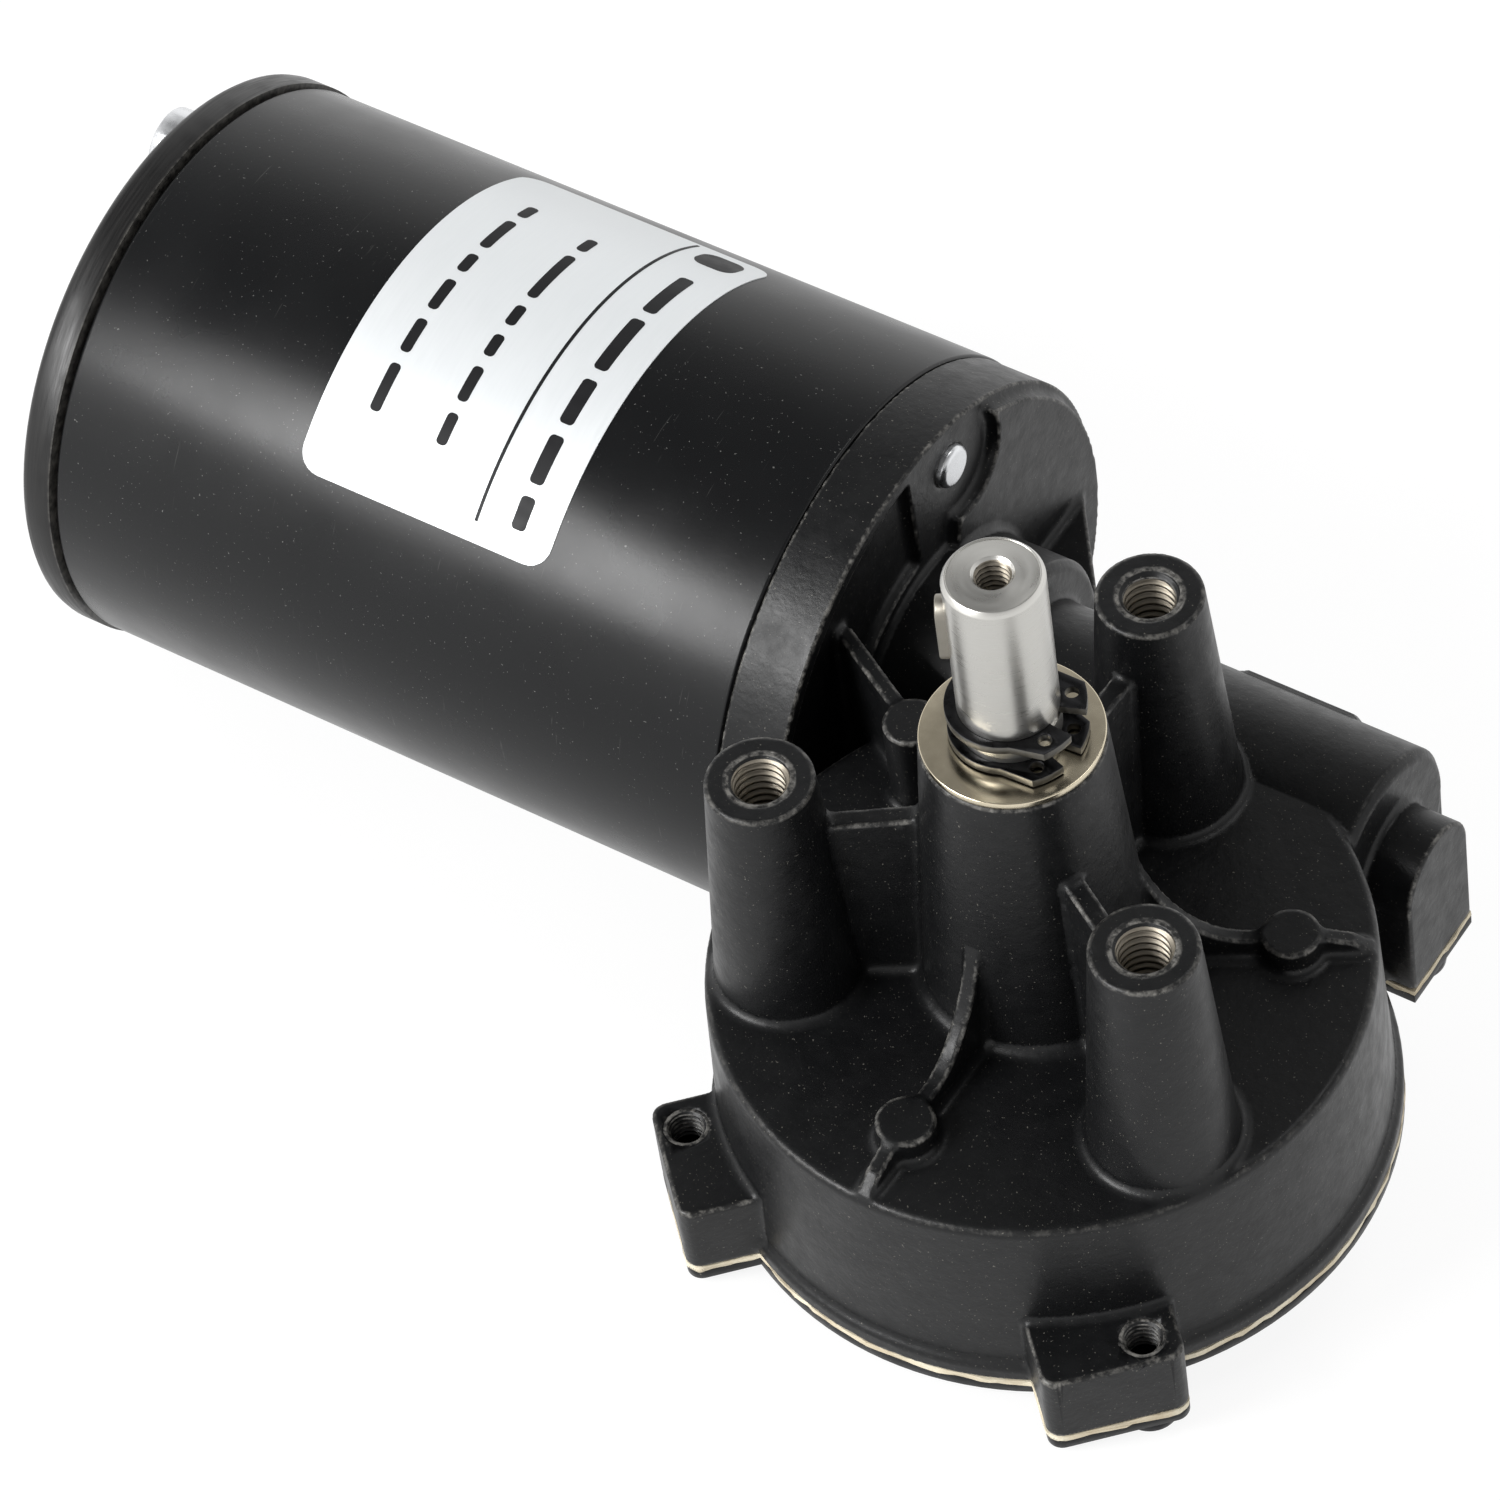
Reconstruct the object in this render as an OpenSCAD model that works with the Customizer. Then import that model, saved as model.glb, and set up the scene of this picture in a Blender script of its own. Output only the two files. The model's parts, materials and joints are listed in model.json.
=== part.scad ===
// Geared DC motor: a permanent-magnet motor drives a worm, and the worm turns a wheel
// on a keyed output shaft. Millimetres. The origin is where the output axis crosses the
// plane of the three mounting bosses. +Z points out along the output shaft, and the
// motor lies along -X.

/* [Output] */
// Diameter of the output shaft
output_d = 10; // [8:0.5:12]
// Height of the shaft end above the mounting plane
output_reach = 30; // [26:1:40]
// Length of the key on the output shaft
key_length = 8; // [6:1:11]
// Tapping diameter of the thread in the shaft end
shaft_tap_d = 3.3; // [2.5:0.1:4.2]

/* [Mounting] */
// Diameter of the circle through the mounting bosses
mount_pcd = 50; // [46:1:54]
// Tapping diameter of the mounting threads
mount_tap_d = 5; // [4.2:0.1:5.2]
// Depth of the mounting threads
mount_depth = 16; // [10:1:20]

/* [Gearing] */
// Distance from the output axis to the worm axis
centre_distance = 34; // [33:0.5:35]
// Depth of the worm axis below the mounting plane
worm_depth = 40; // [38:0.5:42]
// Teeth on the worm wheel, which is also the reduction ratio
wheel_teeth = 50; // [30:1:60]
// Pitch diameter of the worm
worm_pitch_d = 11; // [10:0.5:12]

/* [Gearcase] */
// Radius of the round gearcase at its deck
case_r = 33.6; // [32:0.2:36]
// Depth of the deck below the mounting plane
deck_depth = 29.6; // [24:0.2:32]
// Depth of the joint face below the mounting plane
joint_depth = 52.6; // [50:0.2:56]
// Height of the central boss above the mounting plane
boss_rise = 5.7; // [5.5:0.1:8]

/* [Motor] */
// Outer diameter of the motor tube
motor_d = 63; // [60:1:64]
// Length of the motor tube
motor_length = 83.75; // [80:0.25:90]
// Wall of the motor tube
motor_wall = 2.5; // [2:0.1:3]

/* [Hidden] */
$fn = 64;
eps = 0.01;

// Places along the motor axis, from the gearcase back
flange_x = -34;
tube_front_x = -41.25;
tube_rear_x = tube_front_x - motor_length;
cap_front_x = tube_rear_x - 0.6;
cap_rear_x = cap_front_x - 4;
cap_wall = 3;
bearing_w = 7;
bearing_r = 11;
front_bearing_x = -35.5;
rear_bearing_x = cap_rear_x + cap_wall + 0.5;
plate_x = rear_bearing_x + bearing_w + 1.5;
plate_t = 1.5;
commutator_x = plate_x + 3;
commutator_l = 12;
core_x = -92;
core_l = 38;

// Motor radii
tube_r = motor_d / 2;
tube_bore_r = tube_r - motor_wall;
cap_r = tube_r + 0.3;
spigot_r = tube_bore_r - 0.05;
armature_r = tube_bore_r - 5.7;
commutator_r = 11.5;
motor_shaft_r = 4;
worm_shaft_r = 3;
bolt_angle = 76;
bolt_circle_r = 26;
bolt_r = 2.4;
bolt_end_x = flange_x + 0.9;
post_angle = 121;
post_circle_r = 22;
post_hole_r = 1.25;
lead_angle = 330;
lead_circle_r = 21;
lead_hole_r = 4.5;

// Brush gear
brush_x = commutator_x + 2;
brush_l = 8;
brush_t = 5;
brush_top_r = 20.5;
brush_sleeve = 0.6;
holder_root_r = 14;
holder_top_r = 25;

// Ball bearings
ball_r = 1.985;
ball_circle_r = 7.5;
balls = 7;
shield_r = 9.3;
inner_ring_r = 5.7;

// Armature slots
slots = 12;
slot_circle_r = 17.2;
slot_r = 3.3;

// Gearcase
joint_z = -joint_depth;
deck_z = -deck_depth;
case_wall = 2.6;
case_bore_r = case_r - case_wall;
cavity_z = deck_z - 3;
rim_r = case_r + 1.6;
worm_tube_r = 11.4;
worm_bore_r = 8;
worm_tube_end_x = 20;
worm_bore_end_x = 11;
neck_r = 15.3;
neck_end_x = -23.5;
end_boss_r = 5.9;
end_boss_x = 25.7;
skirt_inset = 0.06;
flange_r = tube_r - 0.2;
plate_start_x = flange_x + 1.6;
lead_in = 0.48;
lug_top_z = -43.5;
lug_hole_r = 1.65;
lug_radius = 37.7;
lug_reach = 40.8;
lug_near = 10.8;
lug_width = 14.5;
gasket_t = 0.7;
cover_t = 1.2;
cover_z = joint_z - gasket_t - cover_t;
screw_sites = [[lug_radius * cos(225), lug_radius * sin(225), lug_top_z],
    [lug_radius * cos(315), lug_radius * sin(315), lug_top_z],
    [22.6, centre_distance, -44.6], [-28, centre_distance + 14, -44]];

// Output shaft
output_r = output_d / 2;
bush_r = 7;
running_gap = 0.03;
shaft_bottom_z = -49;
hub_r = 11;
hub_top_z = cavity_z - 1.1;
hub_bottom_z = -46.5;
washer_clip_z = boss_rise + 0.95;
clip_z = boss_rise + 4.25;
clip_t = 1;
clip_groove_depth = 0.2;
washer_clip_angle = -7;
clip_angle = 7;
key_angle = 210;
key_w = 3;
key_top_z = output_reach - 3.6;
key_base_r = output_r - 1.8;
key_outer_r = output_r + 0.8;

// Gear teeth: a single-start right-hand worm and a wheel with the same lead angle
wheel_pitch_r = centre_distance - worm_pitch_d / 2;
tooth_module = 2 * wheel_pitch_r / wheel_teeth;
worm_pitch = PI * tooth_module;
pressure_angle = 20;
flank_relief = 0.15;
addendum = tooth_module;
dedendum = 1.25 * tooth_module;
half_tooth = (worm_pitch / 2 - flank_relief) / 2;
worm_crest_r = worm_pitch_d / 2 + addendum;
worm_root_r = worm_pitch_d / 2 - dedendum;
lead_slope = worm_pitch / (PI * worm_pitch_d);
wheel_width = 9;
worm_start_x = -14;
worm_end_x = 9;

function involute(a) = tan(a) * 180 / PI - a;
function polar(r, a) = [r * cos(a), r * sin(a)];

// Puts a shape drawn around +Z on the motor axis, with its z along +X
module on_motor_axis(x = 0) {
    translate([x, centre_distance, -worm_depth]) rotate([90, 0, 90]) children();
}

// Repeats a shape at two opposite places around the motor axis
module opposite(angle) {
    for (a = [angle, angle + 180]) rotate([0, 0, a]) children();
}

module ring(outer_r, inner_r, height) {
    difference() {
        cylinder(h = height, r = outer_r);
        translate([0, 0, -1]) cylinder(h = height + 2, r = inner_r);
    }
}

// ---- Gearcase ----

module case_drum() {
    edge = 0.7;
    rotate_extrude($fn = 128) polygon([[0, deck_z], [case_r - edge, deck_z],
        [case_r - 0.3 * edge, deck_z - 0.3 * edge], [case_r, deck_z - edge],
        [case_r + 0.8, joint_z + 2.4], [rim_r - 0.2, joint_z + 2],
        [rim_r, joint_z + 1.6], [rim_r, joint_z], [0, joint_z]]);
}

// One fastening boss: a drafted cone with a small cone fillet at its foot
module mount_boss() {
    foot = 0.6;
    translate([0, 0, deck_z - eps]) cylinder(h = deck_depth + eps, r1 = 7.6, r2 = 5.45);
    translate([0, 0, deck_z - eps]) cylinder(h = foot + eps, r1 = 7.6 + foot, r2 = 7.5);
}

module centre_boss() {
    foot = 0.9;
    h = deck_depth + boss_rise;
    translate([0, 0, deck_z - eps]) cylinder(h = h, r1 = 11.7, r2 = 9.2);
    translate([0, 0, deck_z - eps]) cylinder(h = foot, r1 = 11.7 + foot, r2 = 11.6);
}

// Upright web from the central boss to a mounting boss
module boss_web() {
    web_t = 2.2;
    rotate([90, 0, 0]) translate([0, 0, -web_t / 2]) linear_extrude(web_t)
        polygon([[6, deck_z - 1], [6, -5.6], [mount_pcd / 2 - 3, -6.8],
            [mount_pcd / 2 - 3, deck_z - 1]]);
}

// Low curved rib from the central boss past a pad to the edge of the deck
module pad_rib(end_r, end_z) {
    rib_t = 1.7;
    top = [9.4, deck_z + 19.6];
    bend = [12.6, deck_z + 3.8];
    foot = [20, deck_z + 2.6];
    curve = [for (t = [0:0.1:1]) (1 - t) * (1 - t) * top + 2 * t * (1 - t) * bend + t * t * foot];
    rotate([90, 0, 0]) translate([0, 0, -rib_t / 2]) linear_extrude(rib_t)
        polygon(concat([[6, deck_z - 1], [6, top[1]]], curve,
            [[mount_pcd / 2 + 3, deck_z + 2.6], [end_r - 2, end_z + 1.6], [end_r, end_z],
                [end_r, deck_z - 1]]));
}

module deck_pad(height) {
    translate([mount_pcd / 2, 0, deck_z - eps]) cylinder(h = height + eps, r = 3.05);
}

// Rib that ties the tall post to the motor flange
module flange_rib() {
    rib_t = 1.7;
    rotate([0, 0, 150]) rotate([90, 0, 0]) translate([0, 0, -rib_t / 2])
        linear_extrude(rib_t) polygon([[mount_pcd / 2, -40], [mount_pcd / 2, -18.9],
            [40, -19.6], [40, -40]]);
}

// Outlines of the two lugs in front, square but for two rounded outer corners each
module lug_outlines() {
    corner = 1.6;
    inner = case_bore_r + 0.6;
    for (side = [-1, 1]) rotate(270 + 45 * side)
        translate([inner, side > 0 ? -lug_near : lug_near - lug_width]) difference() {
            square([lug_reach - inner, lug_width]);
            translate([lug_reach - inner - corner, lug_width - corner]) corner_cut(corner);
            translate([lug_reach - inner - corner, corner]) mirror([0, 1]) corner_cut(corner);
        }
}

module corner_cut(corner) {
    difference() {
        square(2 * corner);
        circle(corner);
    }
}

// Worm chamber: a round-topped tube with straight skirts down to the joint face
module worm_chamber(r, x0, x1) {
    edge = 0.8;
    difference() {
        union() {
            on_motor_axis(x0) cylinder(h = x1 - x0 - edge, r = r);
            on_motor_axis(x1 - edge) cylinder(h = edge, r1 = r, r2 = r - edge);
        }
        translate([plate_start_x, centre_distance - r - 1, joint_z - 10])
            cube([x1 - plate_start_x + 1, 2 * r + 2, 10]);
    }
    translate([x0, centre_distance - r + skirt_inset, joint_z])
        cube([x1 - x0 - edge / 2, 2 * (r - skirt_inset), joint_depth - worm_depth]);
}

module end_boss() {
    on_motor_axis(worm_tube_end_x - 3)
        cylinder(h = end_boss_x - worm_tube_end_x + 3, r = end_boss_r);
    translate([worm_tube_end_x - 3, centre_distance - end_boss_r + skirt_inset, joint_z])
        cube([end_boss_x - worm_tube_end_x + 3, 2 * (end_boss_r - skirt_inset),
            joint_depth - worm_depth]);
}

// Raised identification pad on the far side of the worm tube
module tube_pad() {
    on_motor_axis(-2.2) rotate([0, 0, -24]) rotate_extrude(angle = 58)
        square([worm_tube_r + 0.45, 12.9]);
}

// Round motor flange with its face relief and a raised plateau beside the tie bolt
module motor_flange() {
    rim = 1.8;
    difference() {
        union() {
            on_motor_axis(tube_front_x) cylinder(h = flange_x - tube_front_x, r = flange_r);
            on_motor_axis(flange_x - 1) rotate([0, 0, -52]) rotate_extrude(angle = 126)
                square([flange_r - 1.2, 2.4]);
        }
        on_motor_axis(flange_x - 1.1) rotate([0, 0, 92]) rotate_extrude(angle = 150)
            translate([neck_r + 1.5, 0]) square([flange_r - rim - neck_r - 1.5, 2]);
        on_motor_axis(flange_x) opposite(bolt_angle) translate([bolt_circle_r - 0.6, -1.2, 0])
            cylinder(h = 5, r = 6.4);
    }
}

// Level gusset between the flange and the neck, and its twin on the other side
module neck_gusset() {
    translate([0, centre_distance, -worm_depth - 1.8]) linear_extrude(1.7)
        polygon([[flange_x - 1, 0], [flange_x - 1, 27.6], [flange_x + 1.2, 27.4],
            [neck_end_x, 15], [neck_end_x, 0]]);
}

module far_lug() {
    translate([-32, centre_distance + 8, joint_z]) cube([8, 9.5, screw_sites[3][2] - joint_z]);
}

module spigot_ring() {
    on_motor_axis(tube_front_x - 3) ring(spigot_r, spigot_r - 3, 3 + eps);
}

module gearcase_bores() {
    // Gear chamber, worm bore, bearing seats and the open motor side
    translate([0, 0, joint_z - 1]) cylinder(h = cavity_z - joint_z + 1, r = case_bore_r);
    on_motor_axis(-50) cylinder(h = 50 + worm_bore_end_x, r = worm_bore_r);
    on_motor_axis(worm_bore_end_x - 1) cylinder(h = 9, r = 6);
    on_motor_axis(-50) cylinder(h = 50 + front_bearing_x + bearing_w, r = bearing_r);
    on_motor_axis(-50) cylinder(h = 50 + tube_front_x + 3, r = spigot_r - 3);
    // Bush bore through the central boss
    translate([0, 0, cavity_z - 1]) cylinder(h = boss_rise - cavity_z + 2, r = bush_r);
    // Mounting threads with their lead-in chamfers
    for (a = [90, 210, 330]) rotate([0, 0, a]) translate([mount_pcd / 2, 0, 0]) {
        translate([0, 0, -mount_depth]) cylinder(h = mount_depth + 1, d = mount_tap_d);
        translate([0, 0, -lead_in]) cylinder(h = lead_in + eps, r1 = mount_tap_d / 2, r2 = 3.4);
    }
    // Threads for the tie bolts and the cover screws
    on_motor_axis(-50) opposite(bolt_angle) translate([bolt_circle_r, 0, 0])
        cylinder(h = 20, r = bolt_r);
    for (s = [0:3]) translate([screw_sites[s][0], screw_sites[s][1], joint_z - 1])
        cylinder(h = screw_sites[s][2] - joint_z + (s < 2 ? 3 : -0.6), r = lug_hole_r);
}

module gear_housing() {
    color("#1d1e20") difference() {
        union() {
            case_drum();
            centre_boss();
            for (a = [90, 210, 330]) rotate([0, 0, a]) {
                translate([mount_pcd / 2, 0, 0]) mount_boss();
                boss_web();
            }
            for (a = [30, 270]) rotate([0, 0, a]) {
                deck_pad(2.9);
                pad_rib(case_r - 0.4, deck_z + 0.1);
            }
            rotate([0, 0, 150]) {
                deck_pad(11);
                pad_rib(mount_pcd / 2, deck_z);
            }
            flange_rib();
            translate([0, 0, joint_z]) linear_extrude(lug_top_z - joint_z) lug_outlines();
            worm_chamber(worm_tube_r, flange_x - 1, worm_tube_end_x);
            worm_chamber(neck_r, flange_x - 1, neck_end_x);
            end_boss();
            tube_pad();
            motor_flange();
            neck_gusset();
            far_lug();
            spigot_ring();
        }
        gearcase_bores();
    }
}

// Outline shared by the gasket and the cover plate
module joint_outline() {
    difference() {
        union() {
            circle(rim_r, $fn = 128);
            lug_outlines();
            translate([plate_start_x, centre_distance - worm_tube_r])
                square([worm_tube_end_x - plate_start_x - 0.4, 2 * worm_tube_r]);
            translate([plate_start_x, centre_distance - neck_r])
                square([neck_end_x - plate_start_x - 0.4, 2 * neck_r]);
            translate([10, centre_distance - end_boss_r])
                square([end_boss_x - 10, 2 * end_boss_r]);
            translate([-32, centre_distance + 8]) square([8, 9.5]);
        }
        translate([-60, 4]) square([60 + plate_start_x, 60]);
    }
}

module screw_holes(r) {
    for (s = screw_sites) translate([s[0], s[1]]) circle(r);
}

module cover_gasket() {
    color("#d8cfae") translate([0, 0, joint_z - gasket_t]) linear_extrude(gasket_t)
        difference() {
            joint_outline();
            circle(case_bore_r);
            screw_holes(2.2);
        }
}

module cover_plate() {
    color("#1b1c1e") difference() {
        union() {
            translate([0, 0, cover_z]) linear_extrude(cover_t) joint_outline();
            translate([0, 0, cover_z - 1]) cylinder(h = 1 + eps, r1 = 26, r2 = 27.2);
        }
        translate([0, 0, cover_z]) cylinder(h = 5, r = 25.5);
        translate([0, 0, cover_z - 5]) linear_extrude(20) screw_holes(2.2);
    }
    color("#1b1c1e") translate([0, 0, cover_z - 1]) cylinder(h = 1, r = 25.5 + eps);
}

module cover_screws() {
    shank = 8;
    head_h = 1.6;
    color("#1c1c1e") for (s = screw_sites) translate([s[0], s[1], cover_z]) difference() {
        union() {
            cylinder(h = shank - 0.5, r = lug_hole_r);
            translate([0, 0, -head_h]) cylinder(h = head_h * 0.35, r1 = 2.5, r2 = 3);
            translate([0, 0, -head_h * 0.65]) cylinder(h = head_h * 0.65, r = 3);
        }
        for (a = [0, 90]) rotate([0, 0, a]) translate([-2, -0.4, -head_h - 1])
            cube([4, 0.8, 1.8]);
    }
}

// ---- Motor shell ----

module motor_tube() {
    color("#17181a") on_motor_axis(tube_rear_x) difference() {
        cylinder(h = motor_length, r = tube_r, $fn = 128);
        translate([0, 0, -1]) cylinder(h = motor_length + 2, r = tube_bore_r, $fn = 128);
    }
}

module cap_body() {
    edge = 1.2;
    face_x = cap_front_x - cap_rear_x;
    on_motor_axis(cap_rear_x) rotate_extrude($fn = 128) polygon([[0, 0],
        [cap_r - edge, 0], [cap_r - 0.45, 0.3], [cap_r - 0.12, 0.7], [cap_r, edge],
        [cap_r, face_x], [0, face_x]]);
    on_motor_axis(cap_front_x - eps) cylinder(h = 4.6, r = spigot_r);
    on_motor_axis(cap_rear_x - 1.4) cylinder(h = 0.6, r1 = 12.6, r2 = 13.2);
    on_motor_axis(cap_rear_x - 0.8) cylinder(h = 0.9, r = 13.2);
}

module rear_end_cap() {
    inner_x = cap_rear_x + cap_wall;
    color("#1a1b1d") difference() {
        union() {
            difference() {
                cap_body();
                on_motor_axis(inner_x) cylinder(h = 20, r = spigot_r - 2.6);
            }
            on_motor_axis(inner_x - eps) cylinder(h = rear_bearing_x + bearing_w - inner_x,
                r = bearing_r + 2.4);
            on_motor_axis(inner_x - eps) opposite(post_angle) translate([post_circle_r, 0, 0])
                cylinder(h = plate_x - inner_x, r = 3);
        }
        on_motor_axis(inner_x) cylinder(h = 20, r = bearing_r);
        on_motor_axis(cap_rear_x - 5) opposite(bolt_angle) translate([bolt_circle_r, 0, 0]) {
            cylinder(h = 20, r = bolt_r + 0.2);
            cylinder(h = 5.8, r = 4.6);
        }
        on_motor_axis(inner_x + 2) opposite(post_angle) translate([post_circle_r, 0, 0])
            cylinder(h = 20, r = post_hole_r);
        on_motor_axis(cap_rear_x - 1) rotate([0, 0, lead_angle]) translate([lead_circle_r, 0, 0])
            cylinder(h = 10, r = lead_hole_r);
    }
}

module tie_bolts() {
    head_x = cap_rear_x + 0.8;
    head_h = 3.5;
    color("#d4d6d8") opposite_on_axis() {
        translate([0, 0, head_x]) cylinder(h = bolt_end_x - head_x - 0.4, r = bolt_r);
        translate([0, 0, bolt_end_x - 0.4]) cylinder(h = 0.4, r1 = bolt_r, r2 = bolt_r - 0.4);
        difference() {
            translate([0, 0, head_x - head_h]) cylinder(h = head_h, r = 4.2);
            translate([-3.2, -0.6, head_x - head_h - 1]) cube([6.4, 1.2, 2]);
        }
    }
}

module opposite_on_axis() {
    on_motor_axis(0) opposite(bolt_angle) translate([bolt_circle_r, 0, 0]) children();
}

module magnets() {
    span = 130;
    color("#4a4b4d") on_motor_axis(-98) for (a = [bolt_angle + 25, bolt_angle + 205])
        rotate([0, 0, a]) rotate_extrude(angle = span)
            translate([armature_r + 0.8, 0]) square([spigot_r - armature_r - 0.8, 48]);
}

module lead_grommet() {
    color("#151515") on_motor_axis(cap_rear_x) rotate([0, 0, lead_angle]) translate([lead_circle_r, 0, 0])
        difference() {
            union() {
                translate([0, 0, -1.2]) cylinder(h = 1.2, r1 = 5.6, r2 = 6.1);
                cylinder(h = cap_wall, r = lead_hole_r);
                translate([0, 0, cap_wall]) cylinder(h = 1.2, r = 5.2);
            }
            translate([0, 0, -5]) cylinder(h = 12, r = 1.9);
        }
}

// ---- Brush gear ----

module brush_plate() {
    color("#6d4a2c") on_motor_axis(plate_x) difference() {
        cylinder(h = plate_t, r = spigot_r - 2.8);
        translate([0, 0, -1]) cylinder(h = 4, r = 13);
        translate([0, 0, -1]) opposite(bolt_angle) translate([bolt_circle_r, 0, 0])
            cylinder(h = 4, r = bolt_r + 0.6);
        translate([0, 0, -1]) opposite(post_angle) translate([post_circle_r, 0, 0])
            cylinder(h = 4, r = post_hole_r);
    }
}

module brush_plate_screws() {
    color("#c9cbcc") on_motor_axis(plate_x - 6) opposite(post_angle) translate([post_circle_r, 0, 0]) {
        cylinder(h = 6 + plate_t, r = post_hole_r);
        translate([0, 0, 6 + plate_t]) cylinder(h = 1.6, r1 = 2.6, r2 = 2);
    }
}

module brush_holders() {
    slack = 0.1;
    color("#c8a24a") opposite_brush() difference() {
        translate([holder_root_r, -brush_t / 2 - brush_sleeve - slack, plate_x + plate_t])
            cube([holder_top_r - holder_root_r, brush_t + 2 * (brush_sleeve + slack),
                brush_x + brush_l + brush_sleeve + slack - plate_x - plate_t]);
        translate([holder_root_r - 1, -brush_t / 2 - slack, brush_x - slack])
            cube([holder_top_r - holder_root_r + 1 - brush_sleeve, brush_t + 2 * slack, brush_l + 2 * slack]);
    }
}

module opposite_brush() {
    on_motor_axis(0) for (a = [0, 180]) rotate([0, 0, a]) children();
}

module carbon_brushes() {
    color("#2b2b2d") opposite_brush() difference() {
        translate([commutator_r - 1, -brush_t / 2, brush_x])
            cube([brush_top_r - commutator_r + 1, brush_t, brush_l]);
        translate([0, 0, brush_x - 1]) cylinder(h = brush_l + 2, r = commutator_r + 0.15);
    }
}

module brush_springs() {
    coil_r = 1.7;
    wire_r = 0.3;
    turns = 4;
    spring_l = holder_top_r - brush_sleeve - brush_top_r - 0.1;
    color("#b8babc") opposite_brush() translate([brush_top_r + 0.05, 0, brush_x + brush_l / 2])
        rotate([0, 90, 0]) linear_extrude(spring_l, twist = -360 * turns, slices = 12 * turns,
            $fn = 8) translate([coil_r, 0]) circle(wire_r, $fn = 8);
}

module suppressor_chokes() {
    for (a = [0, 180]) on_motor_axis(0) rotate([0, 0, a]) translate([20.5, -6, plate_x - 3.4]) {
        color("#3a3a3c") rotate([-90, 0, 0]) cylinder(h = 12, r = 1.7);
        color("#b5642e") rotate([-90, 0, 0]) translate([0, 0, 1.5]) ring(2.9, 1.7, 9);
    }
}

module suppressor_capacitor() {
    color("#2f5f9e") on_motor_axis(0) rotate([0, 0, 48]) translate([15.5, -4, plate_x - 7])
        cube([4.4, 8, 7]);
}

// ---- Bearings ----

module bearing_groove() {
    groove_r = ball_r + 0.09;
    translate([0, 0, bearing_w / 2]) rotate_extrude() translate([ball_circle_r, 0])
        circle(groove_r, $fn = 32);
}

module bearing_outer_ring(x) {
    color("#c3c6c8") on_motor_axis(x) {
        difference() {
            ring(bearing_r, shield_r, bearing_w);
            bearing_groove();
        }
        for (z = [0.3, bearing_w - 0.7]) translate([0, 0, z]) ring(shield_r + 0.1, inner_ring_r + 0.4, 0.4);
    }
}

module bearing_inner_ring(x) {
    color("#c3c6c8") on_motor_axis(x) difference() {
        ring(inner_ring_r, motor_shaft_r, bearing_w);
        bearing_groove();
    }
}

module bearing_balls(x) {
    cage_h = 3;
    on_motor_axis(x + bearing_w / 2) {
        color("#e2e4e6") for (i = [0:balls - 1]) rotate([0, 0, i * 360 / balls])
            translate([ball_circle_r, 0, 0]) sphere(ball_r, $fn = 32);
        color("#8a6f3c") translate([0, 0, -0.6]) difference() {
            ring(8.3, 6.7, cage_h - 0.8);
            for (i = [0:balls - 1]) rotate([0, 0, i * 360 / balls])
                translate([ball_circle_r, 0, 0.6]) sphere(ball_r + 0.1, $fn = 32);
        }
    }
}

module rear_bearing_outer_ring() {
    bearing_outer_ring(rear_bearing_x);
}

module front_bearing_outer_ring() {
    bearing_outer_ring(front_bearing_x);
}

module rear_bearing_inner_ring() {
    bearing_inner_ring(rear_bearing_x);
}

module front_bearing_inner_ring() {
    bearing_inner_ring(front_bearing_x);
}

module rear_bearing_balls() {
    bearing_balls(rear_bearing_x);
}

module front_bearing_balls() {
    bearing_balls(front_bearing_x);
}

module rear_wave_washer() {
    color("#a9acae") on_motor_axis(cap_rear_x + cap_wall) ring(10.8, 8.6, 0.5);
}

module worm_end_bush() {
    color("#a9772f") on_motor_axis(worm_bore_end_x) ring(6, worm_shaft_r + running_gap, 7);
}

module worm_thrust_button() {
    color("#d9d2bf") on_motor_axis(worm_bore_end_x + 7) cylinder(h = 1, r = 5.9);
}

module upper_shaft_bush() {
    color("#a9772f") translate([0, 0, -9]) ring(bush_r, output_r + running_gap, 12);
}

module lower_shaft_bush() {
    color("#a9772f") translate([0, 0, cavity_z]) ring(bush_r, output_r + running_gap, 12);
}

module shaft_seal() {
    color("#202020") translate([0, 0, 3.1]) ring(bush_r, output_r + 0.08, 2.4);
}

module wheel_thrust_washer() {
    color("#c3c6c8") translate([0, 0, cavity_z - 1]) ring(9.5, output_r + 0.3, 1);
}

module face_washer() {
    color("#d8d0bd") translate([0, 0, boss_rise]) ring(9.1, output_r + 0.3, 0.8);
}

module rating_label() {
    label_t = 0.12;
    color("#dfe3e6") on_motor_axis(-96.2) rotate([0, 0, 46.5]) rotate_extrude(angle = 90)
        translate([tube_r, 0]) square([label_t, 31]);
}

// ---- Output train ----

module key_shape(r0, r1) {
    half = (key_length - key_w) / 2;
    rotate([0, 0, key_angle]) translate([0, 0, key_top_z - key_length / 2])
        rotate([0, 90, 0]) translate([0, 0, r0]) {
            for (s = [-half, half]) translate([s, 0, 0]) cylinder(h = r1 - r0, d = key_w);
            translate([-half, -key_w / 2, 0]) cube([2 * half, key_w, r1 - r0]);
        }
}

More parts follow.
